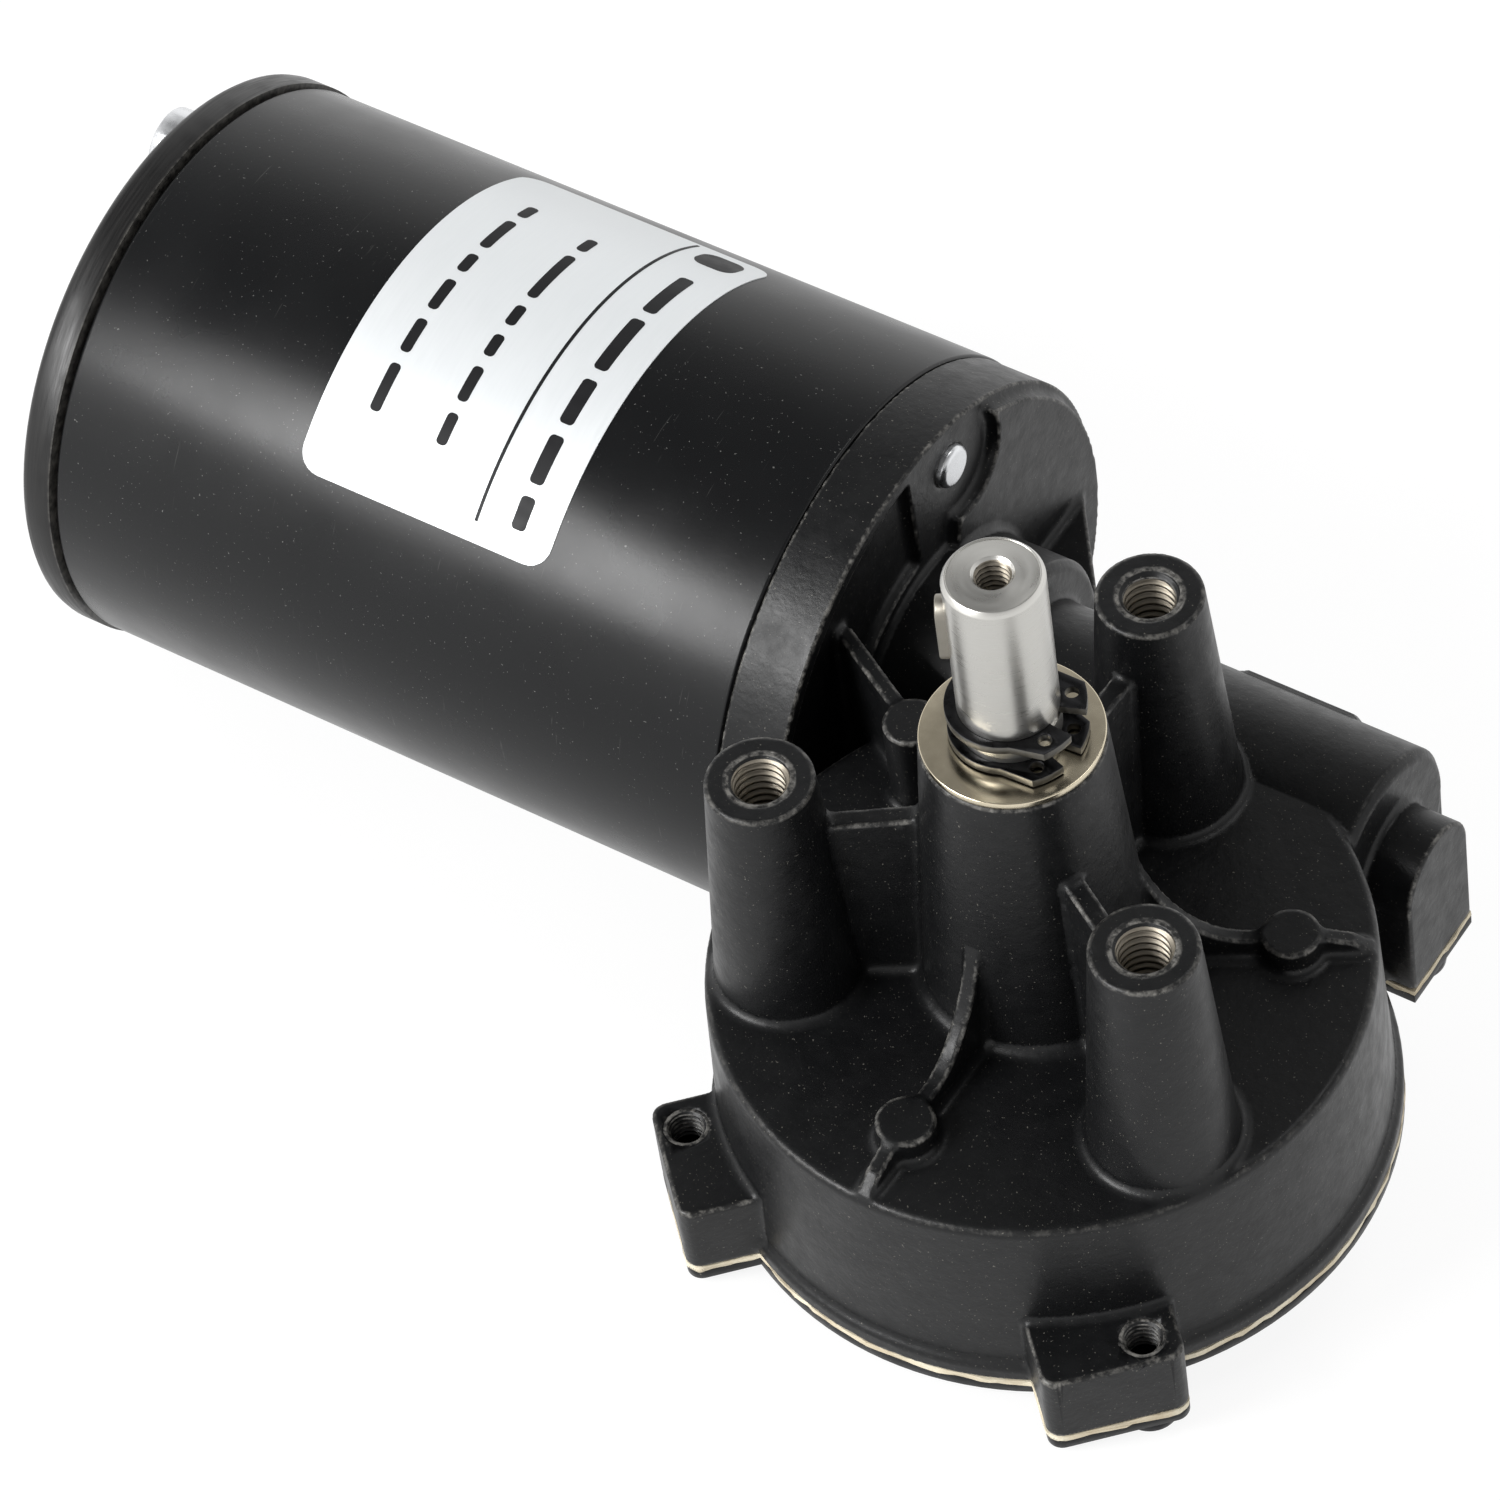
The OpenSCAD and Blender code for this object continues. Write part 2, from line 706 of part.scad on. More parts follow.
module output_shaft() {
    chamfer = 0.55;
    chamfer_h = 0.85;
    tap_depth = 12;
    color("#c9ccce") difference() {
        union() {
            translate([0, 0, shaft_bottom_z])
                cylinder(h = output_reach - chamfer_h - shaft_bottom_z, r = output_r);
            translate([0, 0, output_reach - chamfer_h])
                cylinder(h = chamfer_h, r1 = output_r, r2 = output_r - chamfer);
        }
        translate([0, 0, output_reach - tap_depth])
            cylinder(h = tap_depth + 1, d = shaft_tap_d);
        translate([0, 0, output_reach - 0.45])
            cylinder(h = 0.46, r1 = shaft_tap_d / 2, r2 = shaft_tap_d / 2 + 0.46);
        key_shape(key_base_r, key_outer_r);
        for (z = [washer_clip_z, clip_z]) translate([0, 0, z - 0.05])
            ring(output_r + 2, output_r - clip_groove_depth, clip_t + 0.1);
        translate([0, 0, hub_bottom_z - 1.1])
            ring(output_r + 2, output_r - clip_groove_depth, 1.1);
    }
}

module output_key() {
    color("#b9b4a8") key_shape(key_base_r, key_outer_r);
}

// External retaining ring: it thins towards two square ears, which leave a gap at +X
module snap_ring(z, thickness, gap) {
    outer = output_r + 0.85;
    offset_x = -0.4;
    ear_r = output_r + 2.55;
    ear_span = 26;
    hole_angle = gap + 18;
    translate([0, 0, z]) difference() {
        union() {
            translate([offset_x, 0, 0]) cylinder(h = thickness, r = outer);
            for (side = [-1, 1]) linear_extrude(thickness) polygon(concat(
                [polar(output_r - 1, side * (gap - 5))],
                [for (a = [gap - 5:(ear_span + 5) / 4:gap + ear_span]) polar(ear_r, side * a)],
                [[offset_x, 0] + polar(outer - 0.4, side * 80)]));
        }
        translate([0, 0, -1]) cylinder(h = thickness + 2, r = output_r - clip_groove_depth + 0.02);
        translate([0, 0, -1]) linear_extrude(thickness + 2)
            polygon([[0, 0], polar(14, gap), polar(14, -gap)]);
        for (side = [-1, 1]) rotate(side * hole_angle) translate([output_r + 1.1, 0, -1])
            cylinder(h = thickness + 2, r = 0.7);
    }
}

module retaining_ring() {
    color("#1c1c1e") rotate([0, 0, clip_angle]) snap_ring(clip_z, clip_t, 13);
}

module washer_ring() {
    color("#1c1c1e") rotate([0, 0, washer_clip_angle]) snap_ring(washer_clip_z, clip_t, 10);
}

module wheel_retaining_ring() {
    color("#1c1c1e") snap_ring(hub_bottom_z - 1, clip_t - 0.05, 10);
}

module wheel_hub() {
    color("#b08d4a") translate([0, 0, hub_bottom_z])
        ring(hub_r, output_r, hub_top_z - hub_bottom_z);
}

module wheel_outline() {
    base_r = wheel_pitch_r * cos(pressure_angle);
    half_pitch = half_tooth / wheel_pitch_r * 180 / PI;
    radii = [wheel_pitch_r - dedendum, wheel_pitch_r, wheel_pitch_r + addendum];
    half = [for (r = radii) half_pitch + involute(pressure_angle) - involute(acos(base_r / r))];
    polygon([for (i = [0:wheel_teeth - 1]) let (a = i * 360 / wheel_teeth) each concat(
        [for (k = [0:2]) polar(radii[k], a - half[k])],
        [for (k = [2:-1:0]) polar(radii[k], a + half[k])])]);
}

module worm_wheel() {
    wheel_twist = wheel_width * lead_slope / wheel_pitch_r * 180 / PI;
    web_recess = 1.6;
    color("#e6e0cf") translate([0, 0, -worm_depth]) difference() {
        rotate([0, 0, -wheel_twist / 2]) translate([0, 0, -wheel_width / 2])
            linear_extrude(wheel_width, twist = -wheel_twist, slices = 3) wheel_outline();
        translate([0, 0, -20]) cylinder(h = 40, r = hub_r);
        for (z = [-wheel_width / 2 - 1, wheel_width / 2 - web_recess])
            translate([0, 0, z]) ring(24, hub_r + 3, web_recess + 1);
    }
}

// ---- Armature ----

module armature_shaft() {
    shaft_rear_x = rear_bearing_x + 0.5;
    color("#c4c7c9") {
        on_motor_axis(shaft_rear_x) cylinder(h = worm_start_x - 1 - shaft_rear_x,
            r = motor_shaft_r);
        on_motor_axis(worm_start_x - 1 - eps) cylinder(h = 1 - worm_start_x + 17.6,
            r = worm_shaft_r);
    }
}

// Cross-section of the thread: crest, straight flanks in the axial plane, and root
module worm_section() {
    crest_half = (half_tooth - addendum * tan(pressure_angle)) / worm_pitch * 360;
    root_half = (half_tooth + dedendum * tan(pressure_angle)) / worm_pitch * 360;
    flank_steps = 6;
    crest_steps = 5;
    drop = worm_crest_r - worm_root_r;
    polygon(concat(
        [for (i = [0:crest_steps]) polar(worm_crest_r,
            -crest_half + 2 * crest_half * i / crest_steps)],
        [for (i = [1:flank_steps]) polar(worm_crest_r - drop * i / flank_steps,
            crest_half + (root_half - crest_half) * i / flank_steps)],
        [for (i = [1:3]) polar(worm_root_r, root_half + (360 - 2 * root_half) * i / 4)],
        [for (i = [flank_steps:-1:1]) polar(worm_crest_r - drop * i / flank_steps,
            -crest_half - (root_half - crest_half) * i / flank_steps)]));
}

module worm() {
    length = worm_end_x - worm_start_x;
    turns = length / worm_pitch;
    start_angle = 180 + 360 * worm_start_x / worm_pitch;
    color("#b7babd") on_motor_axis(worm_start_x) difference() {
        rotate([0, 0, start_angle]) linear_extrude(length, twist = -360 * turns,
            slices = round(14 * turns), $fn = 16) worm_section();
        translate([0, 0, -1]) cylinder(h = length + 2, r = worm_shaft_r);
    }
}

module armature_core() {
    color("#6f7072") on_motor_axis(core_x) difference() {
        cylinder(h = core_l, r = armature_r);
        translate([0, 0, -1]) cylinder(h = core_l + 2, r = motor_shaft_r);
        for (i = [0:slots - 1]) rotate([0, 0, i * 360 / slots]) translate([slot_circle_r, 0, -1]) {
            cylinder(h = core_l + 2, r = slot_r);
            translate([0, -1, 0]) cube([10, 2, core_l + 2]);
        }
    }
}

module core_insulators() {
    color("#7d2f22") {
        on_motor_axis(core_x - 0.5) ring(13.5, motor_shaft_r, 0.5);
        on_motor_axis(core_x + core_l) ring(13.5, motor_shaft_r, 0.5);
    }
}

module end_turns() {
    rotate_extrude() {
        translate([7.5, 0.6]) square([13, 5.6]);
        translate([9.5, 0.6]) square([9, 7.6]);
        for (r = [9.5, 18.5]) translate([r, 6.2]) circle(2);
    }
}

module armature_windings() {
    color("#b4622b") {
        on_motor_axis(core_x + core_l) end_turns();
        on_motor_axis(core_x) mirror([0, 0, 1]) end_turns();
        for (i = [0:slots - 1]) on_motor_axis(core_x - 0.7) rotate([0, 0, i * 360 / slots])
            translate([slot_circle_r, 0, 0]) cylinder(h = core_l + 1.4, r = slot_r - 0.2);
    }
}

module commutator_segments() {
    bars = 12;
    riser_l = 1.6;
    color("#c07a3e") on_motor_axis(commutator_x) difference() {
        union() {
            ring(commutator_r, 8.5, commutator_l);
            translate([0, 0, commutator_l - riser_l]) ring(commutator_r + 1.2, 8.5, riser_l);
        }
        for (i = [0:bars / 2 - 1]) rotate([0, 0, (i + 0.5) * 360 / bars])
            translate([-20, -0.3, -1]) cube([40, 0.6, commutator_l + 2]);
    }
}

module commutator_hub() {
    color("#3b2a20") on_motor_axis(commutator_x - 0.8)
        ring(8.5, motor_shaft_r, commutator_l + 1.6);
}

gear_housing();
cover_gasket();
cover_plate();
cover_screws();
motor_tube();
rear_end_cap();
tie_bolts();
magnets();
brush_plate();
brush_plate_screws();
brush_holders();
carbon_brushes();
brush_springs();
suppressor_chokes();
suppressor_capacitor();
lead_grommet();
rear_wave_washer();
rear_bearing_outer_ring();
front_bearing_outer_ring();
worm_end_bush();
worm_thrust_button();
upper_shaft_bush();
lower_shaft_bush();
shaft_seal();
wheel_thrust_washer();
face_washer();
rating_label();
output_shaft();
output_key();
retaining_ring();
washer_ring();
wheel_hub();
worm_wheel();
wheel_retaining_ring();
armature_shaft();
worm();
armature_core();
core_insulators();
armature_windings();
commutator_segments();
commutator_hub();
rear_bearing_inner_ring();
front_bearing_inner_ring();
rear_bearing_balls();
front_bearing_balls();
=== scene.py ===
"""Looks for a geared DC motor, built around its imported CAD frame. Blender 4.5.

Lengths in this file are millimetres unless a name or comment says otherwise, and MM turns
them into Blender's metres. The output axis is +Z through the origin, and the motor axis runs
along X at MOTOR_Y, MOTOR_Z.
"""

import json
import math
import random

import bmesh
import bpy
import numpy
from mathutils import Matrix, Vector, noise


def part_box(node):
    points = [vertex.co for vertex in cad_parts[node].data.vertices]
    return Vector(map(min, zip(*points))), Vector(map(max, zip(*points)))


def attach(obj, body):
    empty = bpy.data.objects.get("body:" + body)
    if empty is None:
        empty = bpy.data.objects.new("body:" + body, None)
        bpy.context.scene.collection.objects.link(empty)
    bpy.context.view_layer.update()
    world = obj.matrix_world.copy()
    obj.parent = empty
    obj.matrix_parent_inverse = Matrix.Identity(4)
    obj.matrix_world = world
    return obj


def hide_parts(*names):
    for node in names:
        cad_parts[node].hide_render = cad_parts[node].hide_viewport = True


MM = 0.001
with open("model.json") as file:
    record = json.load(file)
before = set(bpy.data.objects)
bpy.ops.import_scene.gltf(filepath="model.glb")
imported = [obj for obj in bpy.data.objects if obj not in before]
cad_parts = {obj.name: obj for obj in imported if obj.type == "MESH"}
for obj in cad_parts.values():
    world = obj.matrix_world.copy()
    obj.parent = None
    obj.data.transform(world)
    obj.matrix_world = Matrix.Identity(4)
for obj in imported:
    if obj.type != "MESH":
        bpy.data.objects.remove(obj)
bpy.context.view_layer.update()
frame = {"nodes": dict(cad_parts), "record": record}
nodes = frame["nodes"]

ROOT = "gearcase_and_motor_shell"
OUTPUT = "output_train"
MOTOR_Y = 34.0
MOTOR_Z = -40.0
TUBE_FRONT = -41.25
TUBE_REAR = -125.0
TUBE_R = 31.5
CAP_FRONT = -125.6
CAP_R = 31.8
BOSS_CIRCLE_R = 25.0
BOSS_ANGLES = (90, 210, 330)
LUG_SITES = ((-26.66, -26.66), (26.66, -26.66))
LUG_TOP = -43.5
SHAFT_TOP = 30.0
SHAFT_BOTTOM = -49.0
SHAFT_R = 5.0
KEY_ANGLE = 210.0
KEY_MIDDLE_Z = 22.4
KEY_HALF_WIDTH = 1.5
CLIP_Z = 9.95
WASHER_CLIP_Z = 6.65
DECK_Z = -29.6
JOINT_Z = -52.6
CENTRE_BOSS_TOP = 5.7

ON_OUTPUT_AXIS = Matrix.Identity(4)
# Local x goes to +Y, y to +Z and z to +X, as in the CAD source
ON_MOTOR_AXIS = Matrix(
    ((0, 0, 1, 0), (1, 0, 0, MOTOR_Y), (0, 1, 0, MOTOR_Z), (0, 0, 0, 1))
)


def polar(radius, degrees):
    a = math.radians(degrees)
    return radius * math.cos(a), radius * math.sin(a)


# ---- Node building ----


class Look:
    """A procedural material with one Principled shader, built by short calls."""

    def __init__(self, name, roughness, metallic=0.0, **inputs):
        self.material = bpy.data.materials.new(name)
        self.material.use_nodes = True
        self.tree = self.material.node_tree
        self.tree.nodes.clear()
        self.shader = self.add("ShaderNodeBsdfPrincipled")
        output = self.add("ShaderNodeOutputMaterial")
        self.tree.links.new(self.shader.outputs[0], output.inputs[0])
        self.set("Metallic", metallic)
        self.set("Roughness", roughness)
        for key, value in inputs.items():
            self.set(key.replace("_", " "), value)
        self.place = self.add("ShaderNodeTexCoord").outputs["Object"]
        self.bumps = None

    def add(self, kind, **properties):
        node = self.tree.nodes.new(kind)
        for key, value in properties.items():
            setattr(node, key, value)
        return node

    def set(self, name, value):
        """Sets a shader input to a constant, or links a socket to it."""
        if isinstance(value, bpy.types.NodeSocket):
            self.tree.links.new(value, self.shader.inputs[name])
        else:
            self.shader.inputs[name].default_value = value

    def feed(self, socket, value):
        if isinstance(value, bpy.types.NodeSocket):
            self.tree.links.new(value, socket)
        else:
            socket.default_value = value

    def stretched(self, x=1.0, y=1.0, z=1.0):
        """The object's coordinates, scaled differently along each axis."""
        node = self.add("ShaderNodeMapping")
        self.feed(node.inputs["Vector"], self.place)
        node.inputs["Scale"].default_value = (x, y, z)
        return node.outputs[0]

    def noise(self, size, detail=2.0, roughness=0.5, where=None):
        """Noise whose features are about size millimetres across."""
        node = self.add("ShaderNodeTexNoise")
        self.feed(node.inputs["Vector"], where or self.place)
        node.inputs["Scale"].default_value = 1 / (size * MM)
        node.inputs["Detail"].default_value = detail
        node.inputs["Roughness"].default_value = roughness
        return node.outputs["Fac"]

    def math(self, operation, a, b=0.0):
        node = self.add("ShaderNodeMath", operation=operation)
        for socket, value in zip(node.inputs, (a, b)):
            self.feed(socket, value)
        return node.outputs[0]

    def step(self, value, low, high, to_low=0.0, to_high=1.0):
        """A clamped ramp: to_low at low, to_high at high."""
        node = self.add("ShaderNodeMapRange")
        for socket, given in zip(node.inputs, (value, low, high, to_low, to_high)):
            self.feed(socket, given)
        return node.outputs[0]

    def mix(self, amount, a, b):
        node = self.add("ShaderNodeMix", data_type="RGBA")
        self.feed(node.inputs[0], amount)
        for socket, value in ((node.inputs[6], a), (node.inputs[7], b)):
            if isinstance(value, tuple):
                value = (*value, 1.0)
            self.feed(socket, value)
        return node.outputs[2]

    def axis(self, which):
        """One coordinate of the object's own space, in millimetres."""
        node = self.add("ShaderNodeSeparateXYZ")
        self.feed(node.inputs[0], self.place)
        return self.math("MULTIPLY", node.outputs[which], 1 / MM)

    def edges(self, low, high):
        """A ramp from 0 to 1 as the mean curvature, in 1/mm, goes from low to high.

        It reads what mark_edges() stored, and is 0 on a mesh that has nothing stored.
        """
        convexity = self.add("ShaderNodeAttribute", attribute_name="convexity")
        return self.step(convexity.outputs["Fac"], low, high)

    def bump(self, height, depth, strength=1.0):
        """Adds relief of depth millimetres on top of the relief so far."""
        node = self.add("ShaderNodeBump")
        node.inputs["Strength"].default_value = strength
        node.inputs["Distance"].default_value = depth * MM
        self.feed(node.inputs["Height"], height)
        if self.bumps is not None:
            self.feed(node.inputs["Normal"], self.bumps)
        self.bumps = node.outputs[0]
        self.set("Normal", self.bumps)


def cast_black():
    """Black paint over a die casting: orange peel, dust in it, bare metal on worn edges."""
    look = Look("cast_black", 0.4, Specular_IOR_Level=0.28)
    cloud = look.noise(6.0, 3.0)
    grain = look.noise(0.3, 3.0, 0.6)
    peel = look.noise(0.85, 2.0)
    dust = look.step(look.noise(0.24, 1.0), 0.715, 0.77)
    patches = look.step(look.noise(1.0, 4.0, 0.65), 0.42, 0.62, 0.06, 1.0)
    wear = look.math("MULTIPLY", look.edges(0.5, 1.3), patches)
    paint = look.mix(cloud, (0.0026, 0.0028, 0.0032), (0.005, 0.0052, 0.0056))
    dusty = look.mix(look.math("MULTIPLY", dust, 0.5), paint, (0.2, 0.19, 0.165))
    look.set("Base Color", look.mix(look.math("MULTIPLY", wear, 0.55), dusty, (0.27, 0.26, 0.24)))
    look.set("Roughness", look.step(look.noise(2.5, 4.0, 0.6), 0.3, 0.7, 0.32, 0.46))
    look.bump(grain, 0.016, 0.7)
    look.bump(peel, 0.045, 0.8)
    return look.material


def tube_black():
    """Satin paint on a drawn steel tube, with specks of dust and hairline scratches."""
    look = Look("tube_black", 0.3, Specular_IOR_Level=0.265)
    scratch_place = look.stretched(1.0, 0.05, 0.05)
    scratch = look.step(look.noise(0.25, 2.0, where=scratch_place), 0.72, 0.78)
    specks = look.step(look.noise(0.28, 1.0), 0.735, 0.78)
    faint_scratch = look.math("MULTIPLY", scratch, 0.12)
    marks = look.math("MAXIMUM", faint_scratch, look.math("MULTIPLY", specks, 0.5))
    paint = look.mix(look.noise(14.0), (0.0028, 0.003, 0.0034), (0.0045, 0.0048, 0.0054))
    look.set("Base Color", look.mix(marks, paint, (0.2, 0.2, 0.19)))
    look.set("Roughness", look.step(look.noise(9.0, 4.0), 0.3, 0.7, 0.26, 0.33))
    look.bump(look.noise(0.5, 3.0), 0.007, 0.8)
    return look.material


def cap_black():
    """Paint over turned steel: rings from the lathe show through, and the rim is worn."""
    look = Look("cap_black", 0.36, Specular_IOR_Level=0.34)
    rings = look.noise(0.22, 2.0, where=look.stretched(1.0, 0.04, 0.04))
    rim = look.step(look.axis(0), CAP_FRONT - 0.28, CAP_FRONT - 0.06)
    worn = look.math("MULTIPLY", rim, look.step(look.noise(0.7, 4.0), 0.3, 0.7))
    paint = look.mix(rings, (0.0045, 0.0045, 0.005), (0.012, 0.0115, 0.011))
    look.set("Base Color", look.mix(look.math("MULTIPLY", worn, 0.3), paint, (0.2, 0.19, 0.17)))
    look.set("Roughness", look.step(rings, 0.3, 0.7, 0.28, 0.48))
    look.bump(rings, 0.012, 0.7)
    return look.material


def gasket_paper():
    """Cream jointing paper whose cut edge has soaked up oil."""
    look = Look("gasket_paper", 0.85)
    fibres = look.noise(0.35, 5.0, 0.7)
    stain = look.step(look.noise(5.0, 4.0), 0.42, 0.62)
    paper = look.mix(fibres, (0.5, 0.44, 0.31), (0.78, 0.73, 0.6))
    look.set("Base Color", look.mix(look.math("MULTIPLY", stain, 0.45), paper, (0.33, 0.24, 0.13)))
    look.bump(fibres, 0.05, 0.8)
    return look.material


def turned_steel(name, light, dark, roughness, axis, relief=0.006, stain=0.35):
    """Steel with fine lathe rings round one axis, 0 for X or 2 for Z.

    The ends of a part turned round Z, which is the output axis, have rings too.
    """
    look = Look(name, roughness, 1.0)
    scale = [0.03, 0.03, 0.03]
    scale[axis] = 1.0
    rings = look.noise(0.12, 2.0, where=look.stretched(*scale))
    cloud = look.noise(3.0, 4.0)
    colour = look.mix(rings, dark, light)
    look.set("Base Color", look.mix(look.step(cloud, 0.45, 0.7, 0.0, stain), colour, dark))
    look.set("Roughness", look.step(rings, 0.3, 0.7, roughness * 0.85, roughness * 1.15))
    look.bump(rings, relief, 0.6)
    if axis == 2:
        reach = look.add("ShaderNodeVectorMath", operation="LENGTH")
        look.feed(reach.inputs[0], look.stretched(1.0, 1.0, 0.0))
        look.bump(look.noise(0.16, 2.0, where=reach.outputs["Value"]), 0.005, 0.6)
    return look.material


def plain_metal(name, light, dark, roughness, size=1.2, relief=0.01):
    """Metal with soft cloudy plating or rolling marks."""
    look = Look(name, roughness, 1.0)
    cloud = look.noise(size, 4.0, 0.6)
    look.set("Base Color", look.mix(cloud, dark, light))
    look.set("Roughness", look.step(cloud, 0.3, 0.7, roughness * 0.75, roughness * 1.35))
    look.bump(look.noise(size * 0.3, 2.0), relief, 0.5)
    return look.material


def plain_solid(name, light, dark, roughness, size=1.0, relief=0.02, **inputs):
    """Rubber, plastic, carbon or another dull solid with a fine mottle."""
    look = Look(name, roughness, **inputs)
    mottle = look.noise(size, 3.0, 0.6)
    look.set("Base Color", look.mix(mottle, dark, light))
    dullest = min(1.0, roughness * 1.15)
    look.set("Roughness", look.step(mottle, 0.3, 0.7, roughness * 0.85, dullest))
    look.bump(look.noise(size * 0.3, 2.0), relief, 0.6)
    return look.material


def wound_wire(name):
    """Enamelled copper wire laid side by side."""
    look = Look(name, 0.3, 0.7)
    wave = look.add("ShaderNodeTexWave", wave_type="RINGS", rings_direction="X")
    look.feed(wave.inputs["Vector"], look.place)
    wave.inputs["Scale"].default_value = 200.0
    wave.inputs["Distortion"].default_value = 1.5
    turns = wave.outputs["Fac"]
    look.set("Base Color", look.mix(turns, (0.22, 0.07, 0.02), (0.75, 0.3, 0.12)))
    look.bump(turns, 0.15, 0.8)
    return look.material


def label_foil():
    """Glossy silvered film with a faint brushed grain round the tube."""
    look = Look("label_foil", 0.4, 0.22)
    brushed = look.noise(0.3, 3.0, where=look.stretched(1.0, 0.08, 0.08))
    cloud = look.noise(12.0)
    foil = look.mix(brushed, (0.66, 0.68, 0.69), (0.71, 0.73, 0.74))
    look.set("Base Color", look.mix(look.math("MULTIPLY", cloud, 0.3), foil, (0.6, 0.63, 0.65)))
    look.set("Roughness", look.step(brushed, 0.3, 0.7, 0.36, 0.46))
    look.bump(look.noise(4.0), 0.02, 0.3)
    return look.material


def laminations():
    """Stacked steel sheets, seen as fine lines across the motor axis."""
    look = Look("lamination_steel", 0.45, 0.8)
    sheets = look.math("FRACT", look.math("DIVIDE", look.axis(0), 0.5))
    line = look.step(look.math("ABSOLUTE", look.math("SUBTRACT", sheets, 0.5)), 0.36, 0.5)
    look.set("Base Color", look.mix(line, (0.3, 0.3, 0.31), (0.05, 0.045, 0.045)))
    look.bump(line, -0.04, 0.8)
    return look.material


# Lighter colour, darker colour, roughness, then the size of the clouds and their relief
PLAIN_METALS = {
    "zinc_steel": ((0.78, 0.79, 0.8), (0.55, 0.56, 0.58), 0.28),
    "key_steel": ((0.31, 0.295, 0.26), (0.2, 0.185, 0.155), 0.42),
    "nickel_washer": ((0.72, 0.65, 0.5), (0.56, 0.49, 0.36), 0.2, 2.5, 0.003),
    "clip_black": ((0.035, 0.035, 0.037), (0.018, 0.018, 0.019), 0.3),
    "bronze": ((0.56, 0.34, 0.13), (0.38, 0.22, 0.08), 0.4, 0.4),
    "cage_steel": ((0.5, 0.38, 0.18), (0.35, 0.25, 0.1), 0.4, 0.6),
    "brass_sheet": ((0.75, 0.54, 0.2), (0.55, 0.38, 0.12), 0.32),
    "spring_steel": ((0.6, 0.6, 0.61), (0.4, 0.4, 0.41), 0.3),
}
# The same for dull solids, with the size and relief of their mottle
PLAIN_SOLIDS = {
    "black_rubber": ((0.022, 0.022, 0.023), (0.012, 0.012, 0.013), 0.6),
    "ferrite": ((0.07, 0.07, 0.074), (0.045, 0.045, 0.048), 0.55, 0.6),
    "phenolic": ((0.17, 0.085, 0.04), (0.09, 0.042, 0.02), 0.5, 0.8),
    "carbon": ((0.035, 0.035, 0.037), (0.015, 0.015, 0.016), 0.65, 0.3),
    "film_capacitor": ((0.05, 0.15, 0.42), (0.035, 0.1, 0.3), 0.35, 1.5),
    "insulation_red": ((0.33, 0.05, 0.03), (0.2, 0.03, 0.02), 0.55),
    "nylon": ((0.78, 0.74, 0.63), (0.68, 0.63, 0.51), 0.42, 1.6, 0.01),
    "acetal": ((0.75, 0.7, 0.57), (0.66, 0.61, 0.48), 0.4, 1.6, 0.01),
}
LOOKS = {
    "cast_black": cast_black(),
    "tube_black": tube_black(),
    "cap_black": cap_black(),
    "gasket_paper": gasket_paper(),
    "shaft_steel": turned_steel(
        "shaft_steel", (0.58, 0.575, 0.55), (0.5, 0.49, 0.46), 0.31, 2, 0.0001, 0.2
    ),
    "bearing_steel": turned_steel("bearing_steel", (0.8, 0.8, 0.8), (0.6, 0.6, 0.61), 0.16, 0),
    "copper": wound_wire("copper"),
    "lamination_steel": laminations(),
    "label_foil": label_foil(),
}
LOOKS.update({name: plain_metal(name, *values) for name, values in PLAIN_METALS.items()})
LOOKS.update({name: plain_solid(name, *values) for name, values in PLAIN_SOLIDS.items()})
LABEL_INK = plain_solid(
    "label_ink",
    (0.01, 0.01, 0.011),
    (0.006, 0.006, 0.007),
    roughness=0.5,
    size=2.0,
    relief=0.002,
    Specular_IOR_Level=0.2,
)
BARE_THREAD = turned_steel("bare_thread", (0.34, 0.31, 0.26), (0.16, 0.14, 0.11), 0.44, 2)
CUT_EDGE = plain_metal("cut_edge", (0.17, 0.165, 0.15), (0.07, 0.067, 0.062), 0.42, 0.6)


# ---- Mesh building ----


def new_piece(name, bm, looks, body, replaces=(), sharp_degrees=35.0):
    """Makes an object from a bmesh in millimetres and puts it on a body."""
    bmesh.ops.scale(bm, vec=(MM, MM, MM), verts=bm.verts)
    mesh = bpy.data.meshes.new(name)
    bm.to_mesh(mesh)
    bm.free()
    piece = bpy.data.objects.new(name, mesh)
    bpy.context.scene.collection.objects.link(piece)
    for look in looks:
        mesh.materials.append(look)
    mesh.shade_smooth()
    if sharp_degrees is not None:
        mesh.set_sharp_from_angle(angle=math.radians(sharp_degrees))
    if body is not None:
        finish_piece(piece, body, replaces)
    return piece


def finish_piece(piece, body, replaces=()):
    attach(piece, body)
    if replaces:
        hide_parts(*replaces)


def apply_modifiers(piece):
    graph = bpy.context.evaluated_depsgraph_get()
    mesh = bpy.data.meshes.new_from_object(piece.evaluated_get(graph))
    piece.modifiers.clear()
    piece.data = mesh


def rounded(profile, steps=4):
    """Rounds the corners of a closed profile. Each point is (r, z) or (r, z, radius)."""
    out = []
    count = len(profile)
    for i, point in enumerate(profile):
        here = Vector(point[:2])
        radius = point[2] if len(point) > 2 else 0.0
        if radius == 0.0:
            out.append(tuple(here))
            continue
        before = Vector(profile[i - 1][:2]) - here
        after = Vector(profile[(i + 1) % count][:2]) - here
        half = before.angle(after) / 2
        reach = radius / math.tan(half)
        centre = here + (before.normalized() + after.normalized()).normalized() * (
            radius / math.sin(half)
        )
        start = here + before.normalized() * reach - centre
        end = here + after.normalized() * reach - centre
        turn = start.angle_signed(end)
        for k in range(steps + 1):
            spoke = start.copy()
            spoke.rotate(Matrix.Rotation(-turn * k / steps, 2))
            out.append(tuple(centre + spoke))
    return out


